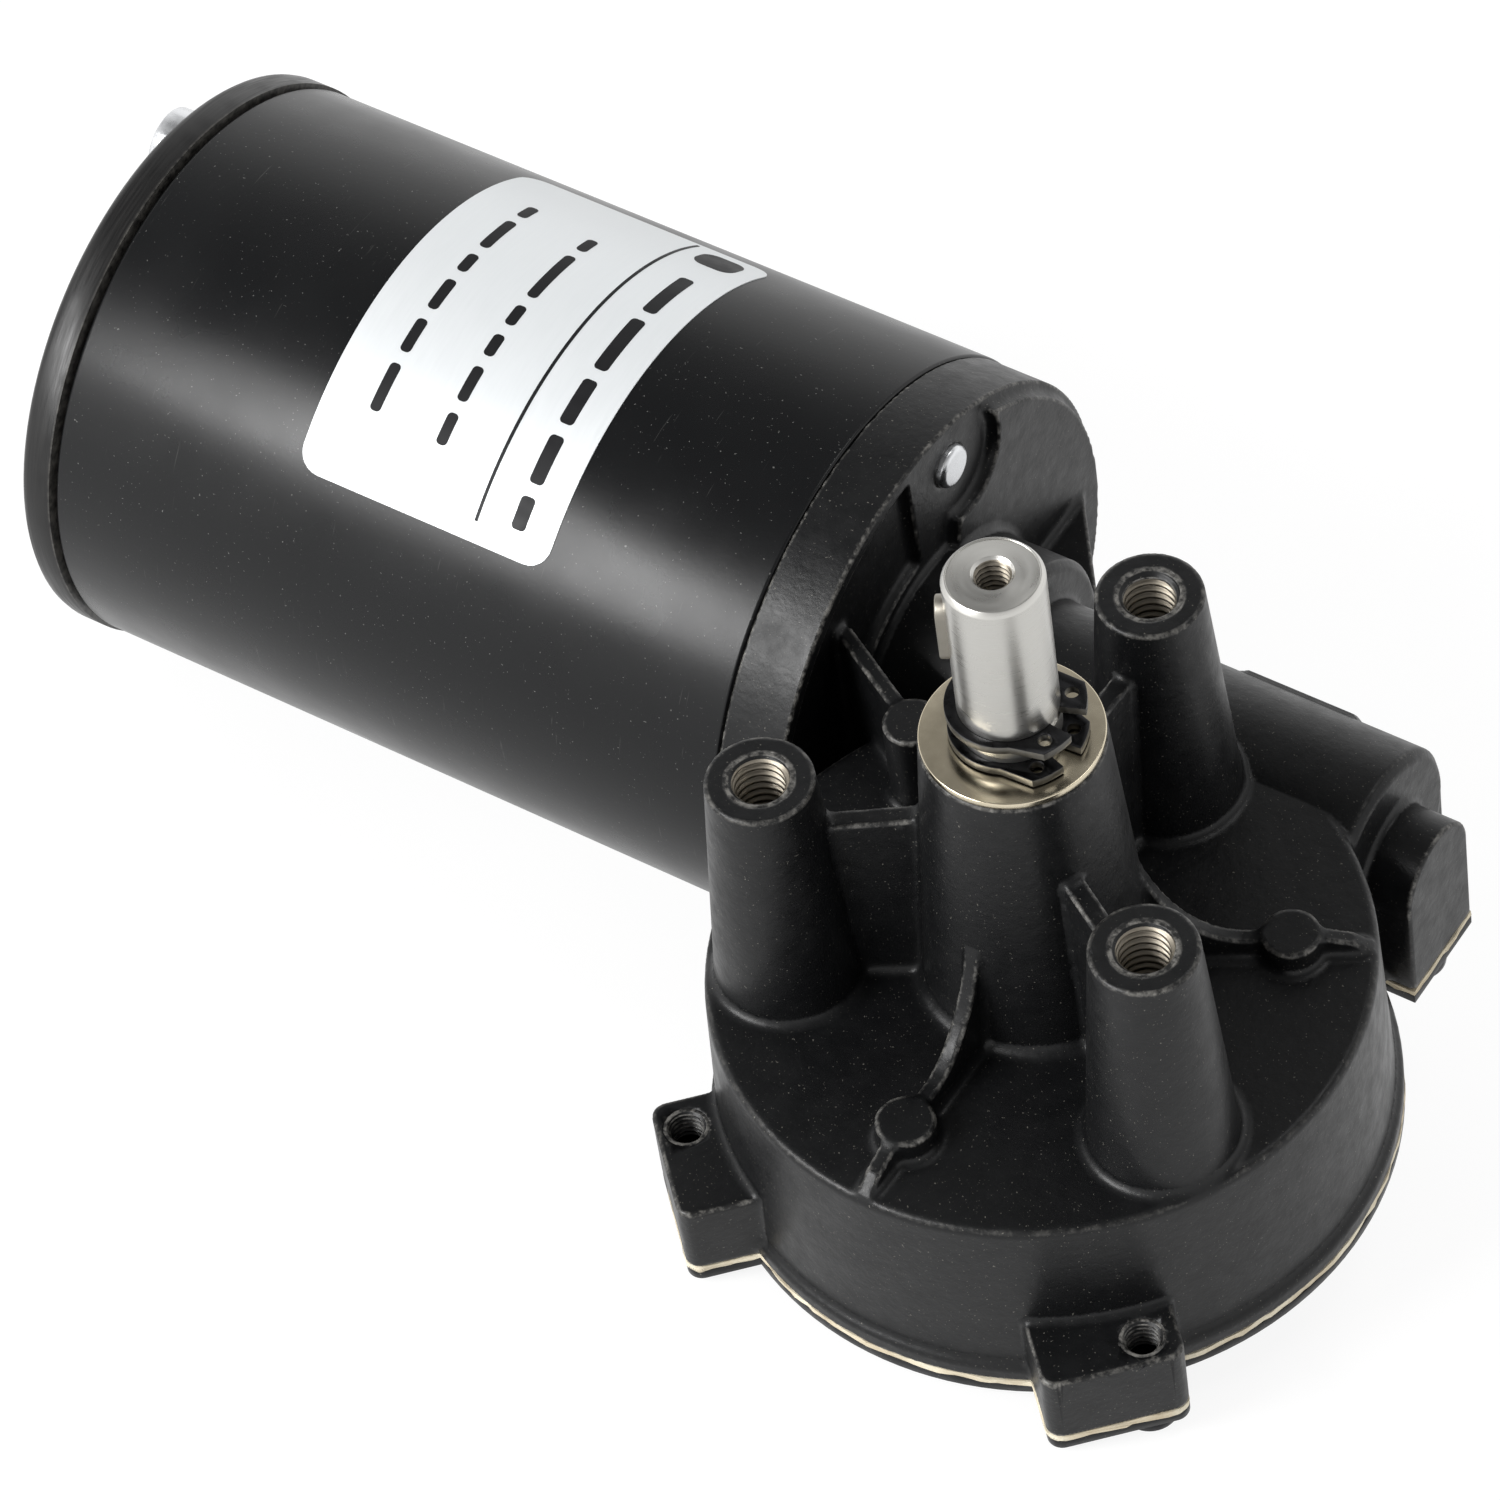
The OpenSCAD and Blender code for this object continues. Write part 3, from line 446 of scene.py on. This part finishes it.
def ring_stack(bm, rings, place, closed, around):
    """Skins a stack of rings. Each is (radius, z), or (function of the angle, z).

    A closed stack joins its last ring to its first. An open one starts and ends on the axis.
    """
    rows = []
    for radius, z in rings:
        if not callable(radius) and radius < 1e-6:
            rows.append([bm.verts.new(place @ Vector((0, 0, z)))])
            continue
        row = []
        for i in range(around):
            a = 2 * math.pi * i / around
            r = radius(a) if callable(radius) else radius
            row.append(bm.verts.new(place @ Vector((r * math.cos(a), r * math.sin(a), z))))
        rows.append(row)
    pairs = list(zip(rows, rows[1:] + rows[:1])) if closed else list(zip(rows, rows[1:]))
    for lower, upper in pairs:
        for i in range(around):
            j = (i + 1) % around
            corners = [lower[i % len(lower)], lower[j % len(lower)]]
            corners += [upper[j % len(upper)], upper[i % len(upper)]]
            unique = list(dict.fromkeys(corners))
            if len(unique) > 2:
                bm.faces.new(unique)


def tidy(bm):
    bmesh.ops.recalc_face_normals(bm, faces=bm.faces)


def lathe(profile, place=ON_OUTPUT_AXIS, around=128):
    """A solid of revolution from a closed profile."""
    bm = bmesh.new()
    ring_stack(bm, rounded(profile), place, True, around)
    tidy(bm)
    return bm


def thread_radius(minor, major, pitch, z):
    """Radius of an inner thread at height z, as a function of the angle."""

    def radius(angle):
        phase = (z / pitch - angle / (2 * math.pi)) % 1.0
        if phase < 0.25:
            return minor
        if phase < 0.5625:
            return minor + (major - minor) * (phase - 0.25) / 0.3125
        if phase < 0.6875:
            return major
        return major - (major - minor) * (phase - 0.6875) / 0.3125

    return radius


def thread_rings(minor, major, pitch, top, bottom, chamfer):
    """Rings of a threaded bore from its chamfer down. chamfer is (radius at top, depth)."""
    steps_per_turn = 10
    count = round((top - bottom) / pitch * steps_per_turn)
    rings = []
    for k in range(count + 1):
        z = top - (top - bottom) * k / count
        cone = chamfer[0] - (chamfer[0] - minor) * (top - z) / chamfer[1]
        screw = thread_radius(minor, major, pitch, z)
        rings.append((lambda a, cone=cone, screw=screw: max(cone, screw(a)), z))
    return rings


def threaded_liner(bm, x, y, minor, major, pitch, top, bottom, chamfer, outer, bare_look):
    """A threaded sleeve set in a casting. bare_look is the look of all but its lead-in."""
    rings = thread_rings(minor, major, pitch, top, bottom, chamfer)
    rings += [(outer, bottom), (outer, top - 0.04), (chamfer[0] + 0.08, top - 0.002)]
    place = Matrix.Translation((x, y, 0))
    first_face = len(bm.faces)
    ring_stack(bm, rings, place, True, 48)
    bm.faces.ensure_lookup_table()
    for face in bm.faces[first_face:]:
        middle = face.calc_center_median()
        radius = math.hypot(middle.x - x, middle.y - y)
        bare = middle.z < top - chamfer[1] * 0.55 and radius < outer - 0.02
        face.material_index = bare_look if bare else 0


def copied_mesh(node):
    """A CAD node's mesh as a bmesh in millimetres, with its seams welded."""
    bm = bmesh.new()
    bm.from_mesh(nodes[node].data)
    bmesh.ops.scale(bm, vec=(1 / MM, 1 / MM, 1 / MM), verts=bm.verts)
    bmesh.ops.remove_doubles(bm, verts=bm.verts, dist=0.002)
    for face in bm.faces:
        face.material_index = 0
    return bm


def softened(name, node, voxel, fillet, passes, looks):
    """A copy of a CAD node with the soft edges and fillets of a casting."""
    piece = new_piece(name, copied_mesh(node), looks, None, sharp_degrees=None)
    low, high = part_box(node)

    def remesh():
        step = piece.modifiers.new("remesh", "REMESH")
        step.mode = "VOXEL"
        step.voxel_size = voxel * MM
        step.use_smooth_shade = True

    def swell(distance):
        step = piece.modifiers.new("swell", "DISPLACE")
        step.mid_level = 0.0
        step.strength = distance * MM

    def smooth(count):
        step = piece.modifiers.new("smooth", "SMOOTH")
        step.factor = 0.5
        step.iterations = count

    remesh()
    smooth(1)
    swell(fillet)
    remesh()
    smooth(passes)
    swell(-fillet)
    remesh()
    smooth(passes)
    sharpen = piece.modifiers.new("sharpen", "SHRINKWRAP")
    sharpen.target = nodes[node]
    sharpen.wrap_method = "NEAREST_SURFACEPOINT"
    sharpen.wrap_mode = "OUTSIDE"
    smooth(1)
    thin = piece.modifiers.new("thin", "DECIMATE")
    thin.ratio = 0.3
    apply_modifiers(piece)
    for vertex in piece.data.vertices:
        for axis in range(3):
            vertex.co[axis] = min(max(vertex.co[axis], low[axis]), high[axis])
    return piece


def bevelled(name, node, width, looks, body, angle=30.0):
    """A copy of a CAD node with its sharp edges broken."""
    bm = copied_mesh(node)
    bmesh.ops.dissolve_limit(
        bm,
        angle_limit=math.radians(1.0),
        use_dissolve_boundaries=False,
        verts=bm.verts,
        edges=bm.edges,
    )
    piece = new_piece(name, bm, looks, body, (node,), sharp_degrees=None)
    step = piece.modifiers.new("bevel", "BEVEL")
    step.width = width * MM
    step.segments = 2
    step.limit_method = "ANGLE"
    step.angle_limit = math.radians(angle)
    step.use_clamp_overlap = True
    step.harden_normals = True
    apply_modifiers(piece)
    return piece


# ---- Gearcase ----


def casting_rounds():
    """The casting's turned surfaces: (axis, centre, low, high, radius at low, radius at high)."""
    motor = (MOTOR_Y, MOTOR_Z)
    rounds = [
        ("Z", (0, 0), JOINT_Z, JOINT_Z + 1.6, 35.2, 35.2),
        ("Z", (0, 0), JOINT_Z + 2.4, DECK_Z - 0.7, 34.4, 33.6),
        ("Z", (0, 0), DECK_Z, CENTRE_BOSS_TOP, 11.7, 9.2),
        ("X", motor, TUBE_FRONT, -34.0, TUBE_R - 0.2, TUBE_R - 0.2),
        ("X", motor, -34.0, -23.5, 15.3, 15.3),
        ("X", motor, -23.5, 19.2, 11.4, 11.4),
        ("X", motor, 20.0, 25.7, 5.9, 5.9),
    ]
    for angle in BOSS_ANGLES:
        rounds.append(("Z", polar(BOSS_CIRCLE_R, angle), DECK_Z, 0.0, 7.6, 5.45))
        rounds.append(("Z", polar(BOSS_CIRCLE_R, angle + 60), DECK_Z, DECK_Z + 11.0, 3.05, 3.05))
    return rounds


def points_and_normals(mesh):
    """A mesh's points in millimetres and its smooth normals, one row for each."""
    count = len(mesh.vertices)
    points = numpy.empty(count * 3, dtype=numpy.float32)
    normals = numpy.empty(count * 3, dtype=numpy.float32)
    mesh.vertices.foreach_get("co", points)
    mesh.vertex_normals.foreach_get("vector", normals)
    return points.reshape(-1, 3) / MM, normals.reshape(-1, 3)


def true_surfaces(mesh):
    """Moves points near a turned surface onto it, and gives the mesh exact normals."""
    close = 0.1
    end_margin = 0.25
    same_way = 0.93
    flat_enough = 0.996
    points, normals = points_and_normals(mesh)
    free = numpy.ones(len(points), dtype=bool)
    for axis, centre, low, high, low_r, high_r in casting_rounds():
        across, along = ([0, 1], 2) if axis == "Z" else ([1, 2], 0)
        spoke = points[:, across] - numpy.array(centre, dtype=numpy.float32)
        away = numpy.linalg.norm(spoke, axis=1) + 1e-9
        spoke /= away[:, None]
        slope = (high_r - low_r) / (high - low)
        wanted = low_r + slope * (points[:, along] - low)
        outward = numpy.empty_like(points)
        outward[:, across] = spoke
        outward[:, along] = -slope
        outward /= numpy.linalg.norm(outward, axis=1)[:, None]
        near = numpy.abs(away - wanted) < close
        near &= (points[:, along] > low + end_margin) & (points[:, along] < high - end_margin)
        near &= (normals * outward).sum(axis=1) > same_way
        near &= free
        moved = spoke * wanted[:, None] + numpy.array(centre, dtype=numpy.float32)
        for k in (0, 1):
            points[near, across[k]] = moved[near, k]
        normals[near] = outward[near]
        free &= ~near
    for axis in range(3):
        for sign in (-1.0, 1.0):
            flat = free & (normals[:, axis] * sign > flat_enough)
            normals[flat] = 0.0
            normals[flat, axis] = sign
    mesh.vertices.foreach_set("co", (points * MM).astype(numpy.float32).ravel())
    mesh.update()
    mesh.normals_split_custom_set_from_vertices([tuple(map(float, n)) for n in normals])


def mark_edges(mesh):
    """Stores the mean curvature at each point, in 1/mm, for the wear along the edges."""
    points, normals = points_and_normals(mesh)
    count = len(points)
    ends = numpy.empty(len(mesh.edges) * 2, dtype=numpy.int32)
    mesh.edges.foreach_get("vertices", ends)
    start, stop = ends.reshape(-1, 2).T
    along = points[start] - points[stop]
    span = (along * along).sum(axis=1) + 1e-4
    bend = ((normals[start] - normals[stop]) * along).sum(axis=1) / span
    total = numpy.bincount(start, bend, count) + numpy.bincount(stop, bend, count)
    share = numpy.bincount(start, None, count) + numpy.bincount(stop, None, count)
    curvature = (total / numpy.maximum(share, 1)).astype(numpy.float32)
    mesh.attributes.new("convexity", "FLOAT", "POINT").data.foreach_set("value", curvature)


def gear_housing():
    looks = [LOOKS["cast_black"], BARE_THREAD]
    piece = softened(
        "gear_housing_casting", "gear_housing", voxel=0.3, fillet=0.35, passes=1, looks=looks
    )
    # Bores that open up for their liners: x, y, low, high, radius now, reach, new radius
    sites = [(*polar(BOSS_CIRCLE_R, a), -16.6, 0.3, 2.5, 3.5, 3.4) for a in BOSS_ANGLES]
    sites += [(x, y, -60.0, LUG_TOP + 0.5, 1.65, 2.6, 2.35) for x, y in LUG_SITES]
    for vertex in piece.data.vertices:
        x, y, z = vertex.co / MM
        for cx, cy, low, high, bore, reach, wide in sites:
            away = math.hypot(x - cx, y - cy)
            if low < z < high and 1.2 < away < reach:
                grown = max(wide, away) if away > bore - 0.6 else away
                vertex.co.x = (cx + (x - cx) * grown / away) * MM
                vertex.co.y = (cy + (y - cy) * grown / away) * MM
    bm = bmesh.new()
    bm.from_mesh(piece.data)
    bmesh.ops.scale(bm, vec=(1 / MM, 1 / MM, 1 / MM), verts=bm.verts)
    shortest_edge = 0.07
    bmesh.ops.remove_doubles(bm, verts=bm.verts, dist=shortest_edge)
    m6 = {"minor": 2.5, "major": 3.0, "pitch": 1.0, "chamfer": (3.12, 0.55)}
    m4 = {"minor": 1.66, "major": 2.0, "pitch": 0.7, "chamfer": (2.02, 0.3)}
    for a in BOSS_ANGLES:
        site = polar(BOSS_CIRCLE_R, a)
        threaded_liner(bm, *site, top=0.0, bottom=-16.0, outer=4.2, bare_look=1, **m6)
    for site in LUG_SITES:
        threaded_liner(bm, *site, top=LUG_TOP, bottom=JOINT_Z, outer=2.8, bare_look=0, **m4)
    bmesh.ops.scale(bm, vec=(MM, MM, MM), verts=bm.verts)
    bm.to_mesh(piece.data)
    bm.free()
    piece.data.shade_smooth()
    mark_edges(piece.data)
    true_surfaces(piece.data)
    finish_piece(piece, ROOT, ("gear_housing",))


gear_housing()


# ---- Motor shell ----


def motor_tube():
    profile = [
        (TUBE_R, TUBE_REAR, 0.5),
        (TUBE_R, TUBE_FRONT, 0.35),
        (29.0, TUBE_FRONT, 0.2),
        (29.0, TUBE_REAR, 0.2),
    ]
    bm = lathe(profile, ON_MOTOR_AXIS, 224)
    new_piece("motor_tube_shell", bm, [LOOKS["tube_black"]], ROOT, ("motor_tube",))


motor_tube()


def face_washer():
    profile = [(9.1, 5.7, 0.12), (9.1, 6.5, 0.15), (5.3, 6.5, 0.1), (5.3, 5.7, 0.1)]
    bm = lathe(profile)
    look = LOOKS["nickel_washer"]
    new_piece("polished_face_washer", bm, [look], ROOT, ("face_washer",))


face_washer()


def key_outline(end_radius):
    """Points round the key, seen from outside: x along the shaft, y across it."""
    half_length = 2.5
    points = []
    for k in range(25):
        points.append((half_length, 0, k * 180 / 24 - 90))
    for k in range(25):
        points.append((-half_length, 0, k * 180 / 24 + 90))
    r = end_radius
    return [(x + polar(r, a)[0], y + polar(r, a)[1]) for x, y, a in points]


def key_block(levels):
    """A key-shaped block. levels are (radius from the output axis, growth) from inside out."""
    bm = bmesh.new()
    turn = Matrix.Rotation(math.radians(KEY_ANGLE), 4, "Z")
    rows = []
    for radius, grow in levels:
        outline = key_outline(KEY_HALF_WIDTH + grow)
        row = [bm.verts.new(turn @ Vector((radius, y, KEY_MIDDLE_Z + x))) for x, y in outline]
        rows.append(row)
    for lower, upper in zip(rows, rows[1:]):
        for i in range(len(lower)):
            j = (i + 1) % len(lower)
            bm.faces.new((lower[i], lower[j], upper[j], upper[i]))
    bm.faces.new(rows[0])
    bm.faces.new(rows[-1])
    tidy(bm)
    return bm


def output_shaft():
    groove = SHAFT_R - 0.2
    profile = [
        (0, SHAFT_BOTTOM),
        (SHAFT_R - 0.4, SHAFT_BOTTOM, 0.1),
        (SHAFT_R, SHAFT_BOTTOM + 0.5, 0.1),
        (SHAFT_R, -47.6),
        (groove, -47.6),
        (groove, -46.5),
        (SHAFT_R, -46.5),
    ]
    for z in (WASHER_CLIP_Z, CLIP_Z):
        low, high = z - 0.05, z + 1.05
        profile += [(SHAFT_R, low), (groove, low), (groove, high), (SHAFT_R, high)]
    profile += [(SHAFT_R, SHAFT_TOP - 0.85, 0.2), (SHAFT_R - 0.55, SHAFT_TOP, 0.12)]
    rings = rounded(profile)
    rings += thread_rings(1.65, 2.0, 0.7, SHAFT_TOP, SHAFT_TOP - 12, (2.12, 0.45))
    rings += [(1.5, SHAFT_TOP - 12.1), (0, SHAFT_TOP - 12.9)]
    bm = bmesh.new()
    ring_stack(bm, rings, ON_OUTPUT_AXIS, False, 96)
    tidy(bm)
    for face in bm.faces:
        middle = face.calc_center_median()
        inside = math.hypot(middle.x, middle.y) < 2.05 and middle.z < SHAFT_TOP - 0.3
        face.material_index = 1 if inside and middle.z > 0 else 0
    look = LOOKS["shaft_steel"]
    looks = [look, BARE_THREAD]
    shaft = new_piece("turned_output_shaft", bm, looks, OUTPUT, ("output_shaft",))
    cutter = new_piece("keyway_cutter", key_block([(3.19, 0.03), (7.0, 0.03)]), [look], None)
    step = shaft.modifiers.new("keyway", "BOOLEAN")
    step.object = cutter
    step.operation = "DIFFERENCE"
    step.solver = "EXACT"
    apply_modifiers(shaft)
    bpy.data.objects.remove(cutter)
    shaft.data.set_sharp_from_angle(angle=math.radians(30))


output_shaft()


def output_key():
    levels = [(3.2, -0.1), (3.3, 0), (5.65, 0), (5.73, -0.04), (5.8, -0.15)]
    bm = key_block(levels)
    new_piece("fitted_key", bm, [LOOKS["key_steel"]], OUTPUT, ("output_key",))


output_key()


def broken_edges():
    """Turned and pressed parts whose CAD shape only lacks its broken edges."""
    parts = (
        ("turned_rear_cap", "rear_end_cap", 0.2, "cap_black"),
        ("long_tie_bolts", "tie_bolts", 0.15, "zinc_steel"),
        ("pressed_cover_plate", "cover_plate", 0.25, "cast_black"),
        ("pan_head_cover_screws", "cover_screws", 0.12, "clip_black"),
        ("rubber_lead_grommet", "lead_grommet", 0.3, "black_rubber"),
    )
    for name, node, width, slot in parts:
        bevelled(name, node, width, [LOOKS[slot]], ROOT)


broken_edges()


def retaining_rings():
    """Two stamped rings: blackened faces, and cut edges that are nearly bare."""
    for node in ("retaining_ring", "washer_ring"):
        looks = [LOOKS["clip_black"], CUT_EDGE]
        ring = bevelled("eared_" + node, node, 0.06, looks, OUTPUT)
        for polygon in ring.data.polygons:
            polygon.material_index = 1 if abs(polygon.normal.z) < 0.3 else 0


retaining_rings()


def cover_gasket():
    """Jointing paper with a slightly ragged cut edge."""
    bm = copied_mesh("cover_gasket")
    long_edges = [e for e in bm.edges if e.calc_length() > 1.3 and e.calc_face_angle(0) > 0.5]
    for edge in long_edges:
        cuts = max(1, int(edge.calc_length() / 0.9))
        bmesh.ops.subdivide_edges(bm, edges=[edge], cuts=cuts)
    bmesh.ops.triangulate(bm, faces=bm.faces)
    low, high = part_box("cover_gasket")
    moves = {}
    for vertex in bm.verts:
        outward = Vector((0, 0, 0))
        for face in vertex.link_faces:
            if abs(face.normal.z) < 0.5:
                outward += face.normal * face.calc_area()
        if outward.length > 0:
            grain = noise.noise(vertex.co * 0.5) * 0.22 + noise.noise(vertex.co * 1.7) * 0.12
            moves[vertex] = outward.normalized() * grain
    for vertex, move in moves.items():
        vertex.co += move
        for axis in range(3):
            vertex.co[axis] = min(max(vertex.co[axis], low[axis] / MM), high[axis] / MM)
    look = LOOKS["gasket_paper"]
    new_piece("ragged_cover_gasket", bm, [look], ROOT, ("cover_gasket",))


cover_gasket()


def rating_label():
    """A foil label round the tube, with plain bars where printed rows would be."""
    corner = 2.6
    x_low, x_high = -96.2, -65.2
    arc_low, arc_high = 46.5, 136.5
    arc_per_mm = 180 / (math.pi * TUBE_R)

    def sheet(bm, x0, x1, a0, a1, radius, inner, outer, look):
        """A patch of the tube's surface with rounded corners and its own thickness."""
        length = (a1 - a0) / arc_per_mm
        rims = [radius * (1 - math.cos(math.radians(t * 15))) for t in range(7)]
        stations = rims + [length * k / 48 for k in range(1, 48)] + [length - r for r in rims]
        stations = sorted({round(s, 4) for s in stations})
        rows = []
        for s in stations:
            edge = min(s, length - s)
            cut = 0.0
            if edge < radius:
                cut = radius - math.sqrt(max(0.0, radius**2 - (radius - edge) ** 2))
            angle = a0 + s * arc_per_mm
            row = []
            for r in (inner, outer):
                y, z = polar(r, angle)
                for x in (x0 + cut, x1 - cut):
                    row.append(bm.verts.new((x, MOTOR_Y + y, MOTOR_Z + z)))
            rows.append(row)
        faces = []
        for a, b in zip(rows, rows[1:]):
            faces.append((a[2], b[2], b[3], a[3]))
            faces.append((a[1], b[1], b[0], a[0]))
            faces.append((a[0], b[0], b[2], a[2]))
            faces.append((a[3], b[3], b[1], a[1]))
        for row in (rows[0], rows[-1]):
            faces.append((row[0], row[2], row[3], row[1]))
        for corners in faces:
            bm.faces.new(corners).material_index = look

    bm = bmesh.new()
    sheet(bm, x_low, x_high, arc_low, arc_high, corner, TUBE_R, TUBE_R + 0.1, 0)
    ink_bottom = TUBE_R + 0.09
    ink_top = TUBE_R + 0.12
    # A printed rule
    sheet(bm, -74.6, -74.2, 48.0, 132.5, 0.1, ink_bottom, ink_top, 1)
    shortest_bar = 4
    gap = 2.6
    dice = random.Random(63)
    # Rows of bars: middle along the tube, height, and the arc from start to stop
    rows = ((-69.6, 1.7, 66.0, 131.0), (-81.4, 1.3, 66.0, 122.0), (-90.0, 1.3, 63.0, 125.0))
    for middle, height, start, stop in rows:
        angle = start
        while angle < stop - shortest_bar:
            width = dice.choice((5.0, 7.5, 10.0, 14.0))
            end = min(angle + width, stop)
            x0, x1 = middle - height / 2, middle + height / 2
            sheet(bm, x0, x1, angle, end, 0.5, ink_bottom, ink_top, 1)
            angle = end + gap
    # A plain rounded block
    sheet(bm, -72.4, -67.4, 50.0, 58.0, 1.6, ink_bottom, ink_top, 1)
    tidy(bm)
    looks = [LOOKS["label_foil"], LABEL_INK]
    new_piece("generic_rating_label", bm, looks, ROOT, ("rating_label",))


rating_label()


# ---- CAD nodes that keep their own shape ----

slot_of = {part["node"]: part["material_slot"] for part in frame["record"]["subparts"]}
for name, node in nodes.items():
    node.data.materials.clear()
    node.data.materials.append(LOOKS.get(slot_of[name], LOOKS["zinc_steel"]))
    for polygon in node.data.polygons:
        polygon.material_index = 0


# ---- Floor, light and camera ----


def floor():
    """A pale floor under the cap's lowest line, tilted to pass just below the cover."""
    tilt = math.radians(14.16)
    gap = 0.02
    half_width = 3000
    down = Vector((0, -math.sin(tilt), -math.cos(tilt)))
    centre = Vector((0, MOTOR_Y, MOTOR_Z)) + down * (CAP_R + gap)
    across = Vector((1, 0, 0))
    along = down.cross(across)
    bm = bmesh.new()
    corners = [
        bm.verts.new(centre + (across * sx + along * sy) * half_width)
        for sx, sy in ((-1, -1), (1, -1), (1, 1), (-1, 1))
    ]
    face = bm.faces.new(corners)
    face.normal_update()
    if face.normal.dot(down) > 0:
        face.normal_flip()
    look = Look("floor_white", 0.9)
    look.set("Base Color", look.mix(look.noise(40.0), (0.15, 0.15, 0.15), (0.17, 0.17, 0.17)))
    look.set("Emission Color", (1.0, 1.0, 1.0, 1.0))
    look.set("Emission Strength", 0.87)
    plane = new_piece("floor", bm, [look.material], None, sharp_degrees=None)


floor()


def area_light(name, towards, distance, width, height, watts, aim=(-45, 5, -25)):
    """A soft box. towards is (azimuth, elevation) of the light seen from the part."""
    az = math.radians(towards[0])
    el = math.radians(towards[1])
    back = Vector((math.sin(az) * math.cos(el), -math.cos(az) * math.cos(el), math.sin(el)))
    light = bpy.data.lights.new(name, "AREA")
    light.shape = "RECTANGLE"
    light.size = width * MM
    light.size_y = height * MM
    light.energy = watts
    lamp = bpy.data.objects.new(name, light)
    lamp.location = (Vector(aim) + back * distance) * MM
    lamp.rotation_mode = "QUATERNION"
    lamp.rotation_quaternion = (-back).to_track_quat("-Z", "Y")
    bpy.context.scene.collection.objects.link(lamp)


def studio():
    """A room that is dim overhead, a large soft box at the left front and a faint one behind."""
    scene = bpy.context.scene
    scene.view_settings.view_transform = "Standard"
    world = bpy.data.worlds.new("studio")
    scene.world = world
    world.use_nodes = True
    tree = world.node_tree
    direction = tree.nodes.new("ShaderNodeTexCoord").outputs["Generated"]
    parts = tree.nodes.new("ShaderNodeSeparateXYZ")
    tree.links.new(direction, parts.inputs[0])
    ramp = tree.nodes.new("ShaderNodeValToRGB")
    tree.links.new(parts.outputs[2], ramp.inputs[0])
    # Grey from the horizon, at 0, to straight overhead, at 1
    stops = ((0.0, 1.0), (0.35, 0.95), (0.62, 0.42), (0.8, 0.22), (1.0, 0.18))
    while len(ramp.color_ramp.elements) < len(stops):
        ramp.color_ramp.elements.new(0.5)
    for element, (at, grey) in zip(ramp.color_ramp.elements, stops):
        element.position = at
        element.color = (grey, grey, grey, 1.0)
    tree.links.new(ramp.outputs[0], tree.nodes["Background"].inputs["Color"])
    tree.nodes["Background"].inputs["Strength"].default_value = 1.28
    area_light("key_box", (-31, 38), 1200, 640, 500, 17.5)
    area_light("rear_box", (150, 62), 1300, 500, 400, 2.0)


studio()


def camera():
    """The viewpoint: a long lens, from the right front and well above."""
    azimuth = math.radians(39.96)
    elevation = math.radians(50.98)
    roll = math.radians(-9.49)
    target = Vector((-34.82, 2.59, -20.0))
    distance = 775.15
    back = Vector(
        (
            math.sin(azimuth) * math.cos(elevation),
            -math.cos(azimuth) * math.cos(elevation),
            math.sin(elevation),
        )
    )
    right = Vector((math.cos(azimuth), math.sin(azimuth), 0))
    up = back.cross(right)
    turned_right = right * math.cos(roll) + up * math.sin(roll)
    turned_up = up * math.cos(roll) - right * math.sin(roll)
    data = bpy.data.cameras.new("camera")
    data.sensor_width = 36.0
    data.lens = 185.50944
    data.clip_start = 0.05
    data.clip_end = 20.0
    viewer = bpy.data.objects.new("camera", data)
    axes = Matrix((turned_right, turned_up, back)).transposed()
    viewer.matrix_world = Matrix.Translation((target + back * distance) * MM) @ axes.to_4x4()
    bpy.context.scene.collection.objects.link(viewer)
    bpy.context.scene.camera = viewer


camera()
